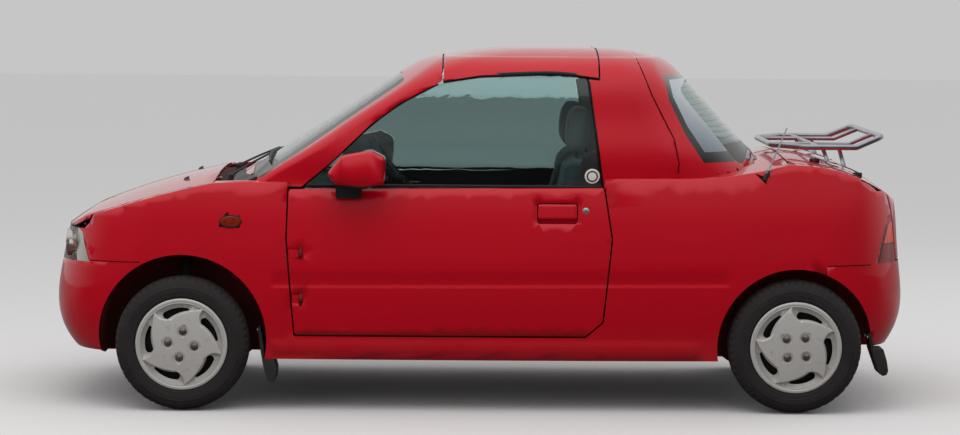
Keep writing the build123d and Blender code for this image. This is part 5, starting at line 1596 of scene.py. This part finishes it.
class KEICAR_OT_seats(bpy.types.Operator):
    """Makes the padded seats, with sewn channels, on their dark frames"""

    bl_idname = "kei_car.seats"
    bl_label = "Seats"

    def execute(self, context):
        for row, pads, places in (("front", FRONT_PADS, (-SEAT_Y, SEAT_Y)), ("rear", REAR_PADS, (0.0,))):
            for name, length, width, thick, crown, taper, seams, centre, lean in pads:
                form = soft_block(length, width, thick, crown, taper)
                form = puffed(f"{row}_{name}", form, 0.024)
                sew(form, seams)
                turn = Matrix.Rotation(radians(lean), 4, "Y")
                bmesh.ops.transform(form, matrix=turn, verts=form.verts)
                for place in places:
                    copy = form.copy()
                    bmesh.ops.translate(copy, verts=copy.verts, vec=(centre[0], place, centre[1]))
                    tag = "" if place == 0 else ("_left" if place < 0 else "_right")
                    piece = finish_piece(f"{row}_seat_{name}{tag}", copy, "body", [seat_cloth()], 60)
                form.free()
        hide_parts("front_seats")
        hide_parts("rear_seat")
        frames = bmesh.new()
        for y in (-SEAT_Y, SEAT_Y):
            block(frames, (-0.130, y - 0.185, 0.270), (0.330, y + 0.185, 0.345), 0.012, 3)
            for rail in (-0.150, 0.150):
                block(frames, (-0.170, y + rail - 0.016, 0.2305), (0.330, y + rail + 0.016, 0.272), 0.003)
            for post in (-0.055, 0.055):
                rod(frames, (0.366, y + post, 0.930), (0.378, y + post, 1.020), 0.0055, segments=16)
            block(frames, (0.235, y - 0.222, 0.375), (0.345, y - 0.206, 0.470), 0.005)
            block(frames, (0.235, y + 0.206, 0.375), (0.345, y + 0.222, 0.470), 0.005)
        block(frames, (0.570, -0.470, 0.2305), (0.860, 0.470, 0.355), 0.010, 3)
        finish_piece("seat_frames", frames, "body", [dark_trim()])
        return {"FINISHED"}


# the camera fitted to the photograph: place, yaw, pitch and roll in radians, focal length in mm on a 36 mm sensor
CAMERA_PLACE = (-0.1099, -11.08994, 1.58781)
CAMERA_TURNS = (0.01007, 0.08133, -0.00725)
CAMERA_LENS = 104.75
BACKDROP = srgb(198, 198, 199)
SKYLIGHT = srgb(234, 234, 236)
SKYLIGHT_STRENGTH = 0.95


class KEICAR_OT_studio(bpy.types.Operator):
    """Lays the floor and sets the lamps, the background and the camera"""

    bl_idname = "kei_car.studio"
    bl_label = "Studio"

    def execute(self, context):
        bm = bmesh.new()
        bmesh.ops.create_grid(bm, x_segments=1, y_segments=1, size=40)
        mesh = bpy.data.meshes.new("floor")
        bm.to_mesh(mesh)
        bm.free()
        mesh.materials.append(studio_floor())
        floor = bpy.data.objects.new("floor", mesh)
        context.scene.collection.objects.link(floor)
        # name, place, aimed at, size, power
        lamps = [
            ("overhead", (-0.6, -2.6, 5.2), (0.0, 0.0, 0.5), 5.0, sizes().lamp_power),
            ("front_fill", (-4.6, -5.5, 2.6), (-0.5, 0.0, 0.6), 3.0, 40.0),
            ("rear_fill", (5.5, 2.5, 3.5), (0.5, 0.0, 0.6), 3.0, 40.0),
        ]
        for name, place, target, size, power in lamps:
            data = bpy.data.lights.new(name, "AREA")
            data.shape = "SQUARE"
            data.size = size
            data.energy = power
            data.color = (1.0, 0.99, 0.98)
            lamp = bpy.data.objects.new(name, data)
            lamp.matrix_world = Matrix.Translation(place) @ facing(Vector(place) - Vector(target))
            lamp.visible_glossy = False
            context.scene.collection.objects.link(lamp)
        world = bpy.data.worlds.new("studio")
        world.use_nodes = True
        tree = world.node_tree
        tree.nodes.clear()
        seen = tree.nodes.new("ShaderNodeBackground")
        seen.inputs["Color"].default_value = BACKDROP
        lit = tree.nodes.new("ShaderNodeBackground")
        lit.inputs["Color"].default_value = SKYLIGHT
        lit.inputs["Strength"].default_value = SKYLIGHT_STRENGTH
        mirrored = tree.nodes.new("ShaderNodeBackground")
        way = separate(tree, tree.nodes.new("ShaderNodeTexCoord").outputs["Generated"])
        beyond = ramp(tree, way["Y"], -0.55, 0.45, 0.06, 0.78)
        above = ramp(tree, way["Z"], 0.10, 0.95, 0.0, 1.05)
        feed(tree, calc(tree, "MAXIMUM", beyond, above), mirrored.inputs["Strength"])
        path = tree.nodes.new("ShaderNodeLightPath")
        direct = calc(tree, "MAXIMUM", path.outputs["Is Camera Ray"], path.outputs["Is Transmission Ray"])
        mixes = [(path.outputs["Is Glossy Ray"], mirrored), (direct, seen)]
        result = lit.outputs[0]
        for factor, source in mixes:
            choice = tree.nodes.new("ShaderNodeMixShader")
            feed(tree, factor, choice.inputs[0])
            feed(tree, result, choice.inputs[1])
            feed(tree, source.outputs[0], choice.inputs[2])
            result = choice.outputs[0]
        feed(tree, result, tree.nodes.new("ShaderNodeOutputWorld").inputs[0])
        context.scene.world = world
        context.scene.view_settings.view_transform = "Standard"
        yaw, pitch, roll = CAMERA_TURNS
        forward = Vector((sin(yaw) * cos(pitch), cos(yaw) * cos(pitch), -sin(pitch)))
        across = Vector((cos(yaw), -sin(yaw), 0.0))
        down = forward.cross(across)
        right = cos(roll) * across + sin(roll) * down
        below = -sin(roll) * across + cos(roll) * down
        data = bpy.data.cameras.new("camera")
        data.lens = CAMERA_LENS
        data.sensor_width = 36.0
        data.sensor_fit = "HORIZONTAL"
        camera = bpy.data.objects.new("camera", data)
        turn = Matrix((right, -below, -forward)).transposed().to_4x4()
        camera.matrix_world = Matrix.Translation(CAMERA_PLACE) @ turn
        context.scene.collection.objects.link(camera)
        context.scene.camera = camera
        return {"FINISHED"}


class KEICAR_PT_dressing(bpy.types.Panel):
    """Lists the car's dressing steps and its colours and sizes"""

    bl_idname = "KEICAR_PT_dressing"
    bl_label = "Kei car dressing"
    bl_space_type = "VIEW_3D"
    bl_region_type = "UI"
    bl_category = "Kei Car"

    def draw(self, context):
        for group in (context.scene.kei_car_colours, context.scene.kei_car_sizes):
            box = self.layout.box()
            for name in group.__annotations__:
                box.prop(group, name)
        column = self.layout.column()
        for operator in STEPS:
            column.operator(operator.bl_idname)


STEPS = [
    KEICAR_OT_panels, KEICAR_OT_glass, KEICAR_OT_lamps, KEICAR_OT_mirrors, KEICAR_OT_wheels, KEICAR_OT_tyres,
    KEICAR_OT_chassis, KEICAR_OT_panel_details, KEICAR_OT_seals, KEICAR_OT_door_fittings, KEICAR_OT_screen_fittings,
    KEICAR_OT_lamp_insides, KEICAR_OT_rear_plate, KEICAR_OT_mudflaps, KEICAR_OT_cabin_fittings,
    KEICAR_OT_seats, KEICAR_OT_studio,
]
CLASSES = [KeiCarColours, KeiCarSizes, KEICAR_PT_dressing] + STEPS


def register():
    for row in CLASSES:
        bpy.utils.register_class(row)
    bpy.types.Scene.kei_car_colours = bpy.props.PointerProperty(type=KeiCarColours)
    bpy.types.Scene.kei_car_sizes = bpy.props.PointerProperty(type=KeiCarSizes)


def unregister():
    del bpy.types.Scene.kei_car_sizes
    del bpy.types.Scene.kei_car_colours
    for row in reversed(CLASSES):
        bpy.utils.unregister_class(row)


def main():
    register()
    for operator in STEPS:
        group, name = operator.bl_idname.split(".")
        getattr(getattr(bpy.ops, group), name)()


if __name__ == "__main__":
    main()
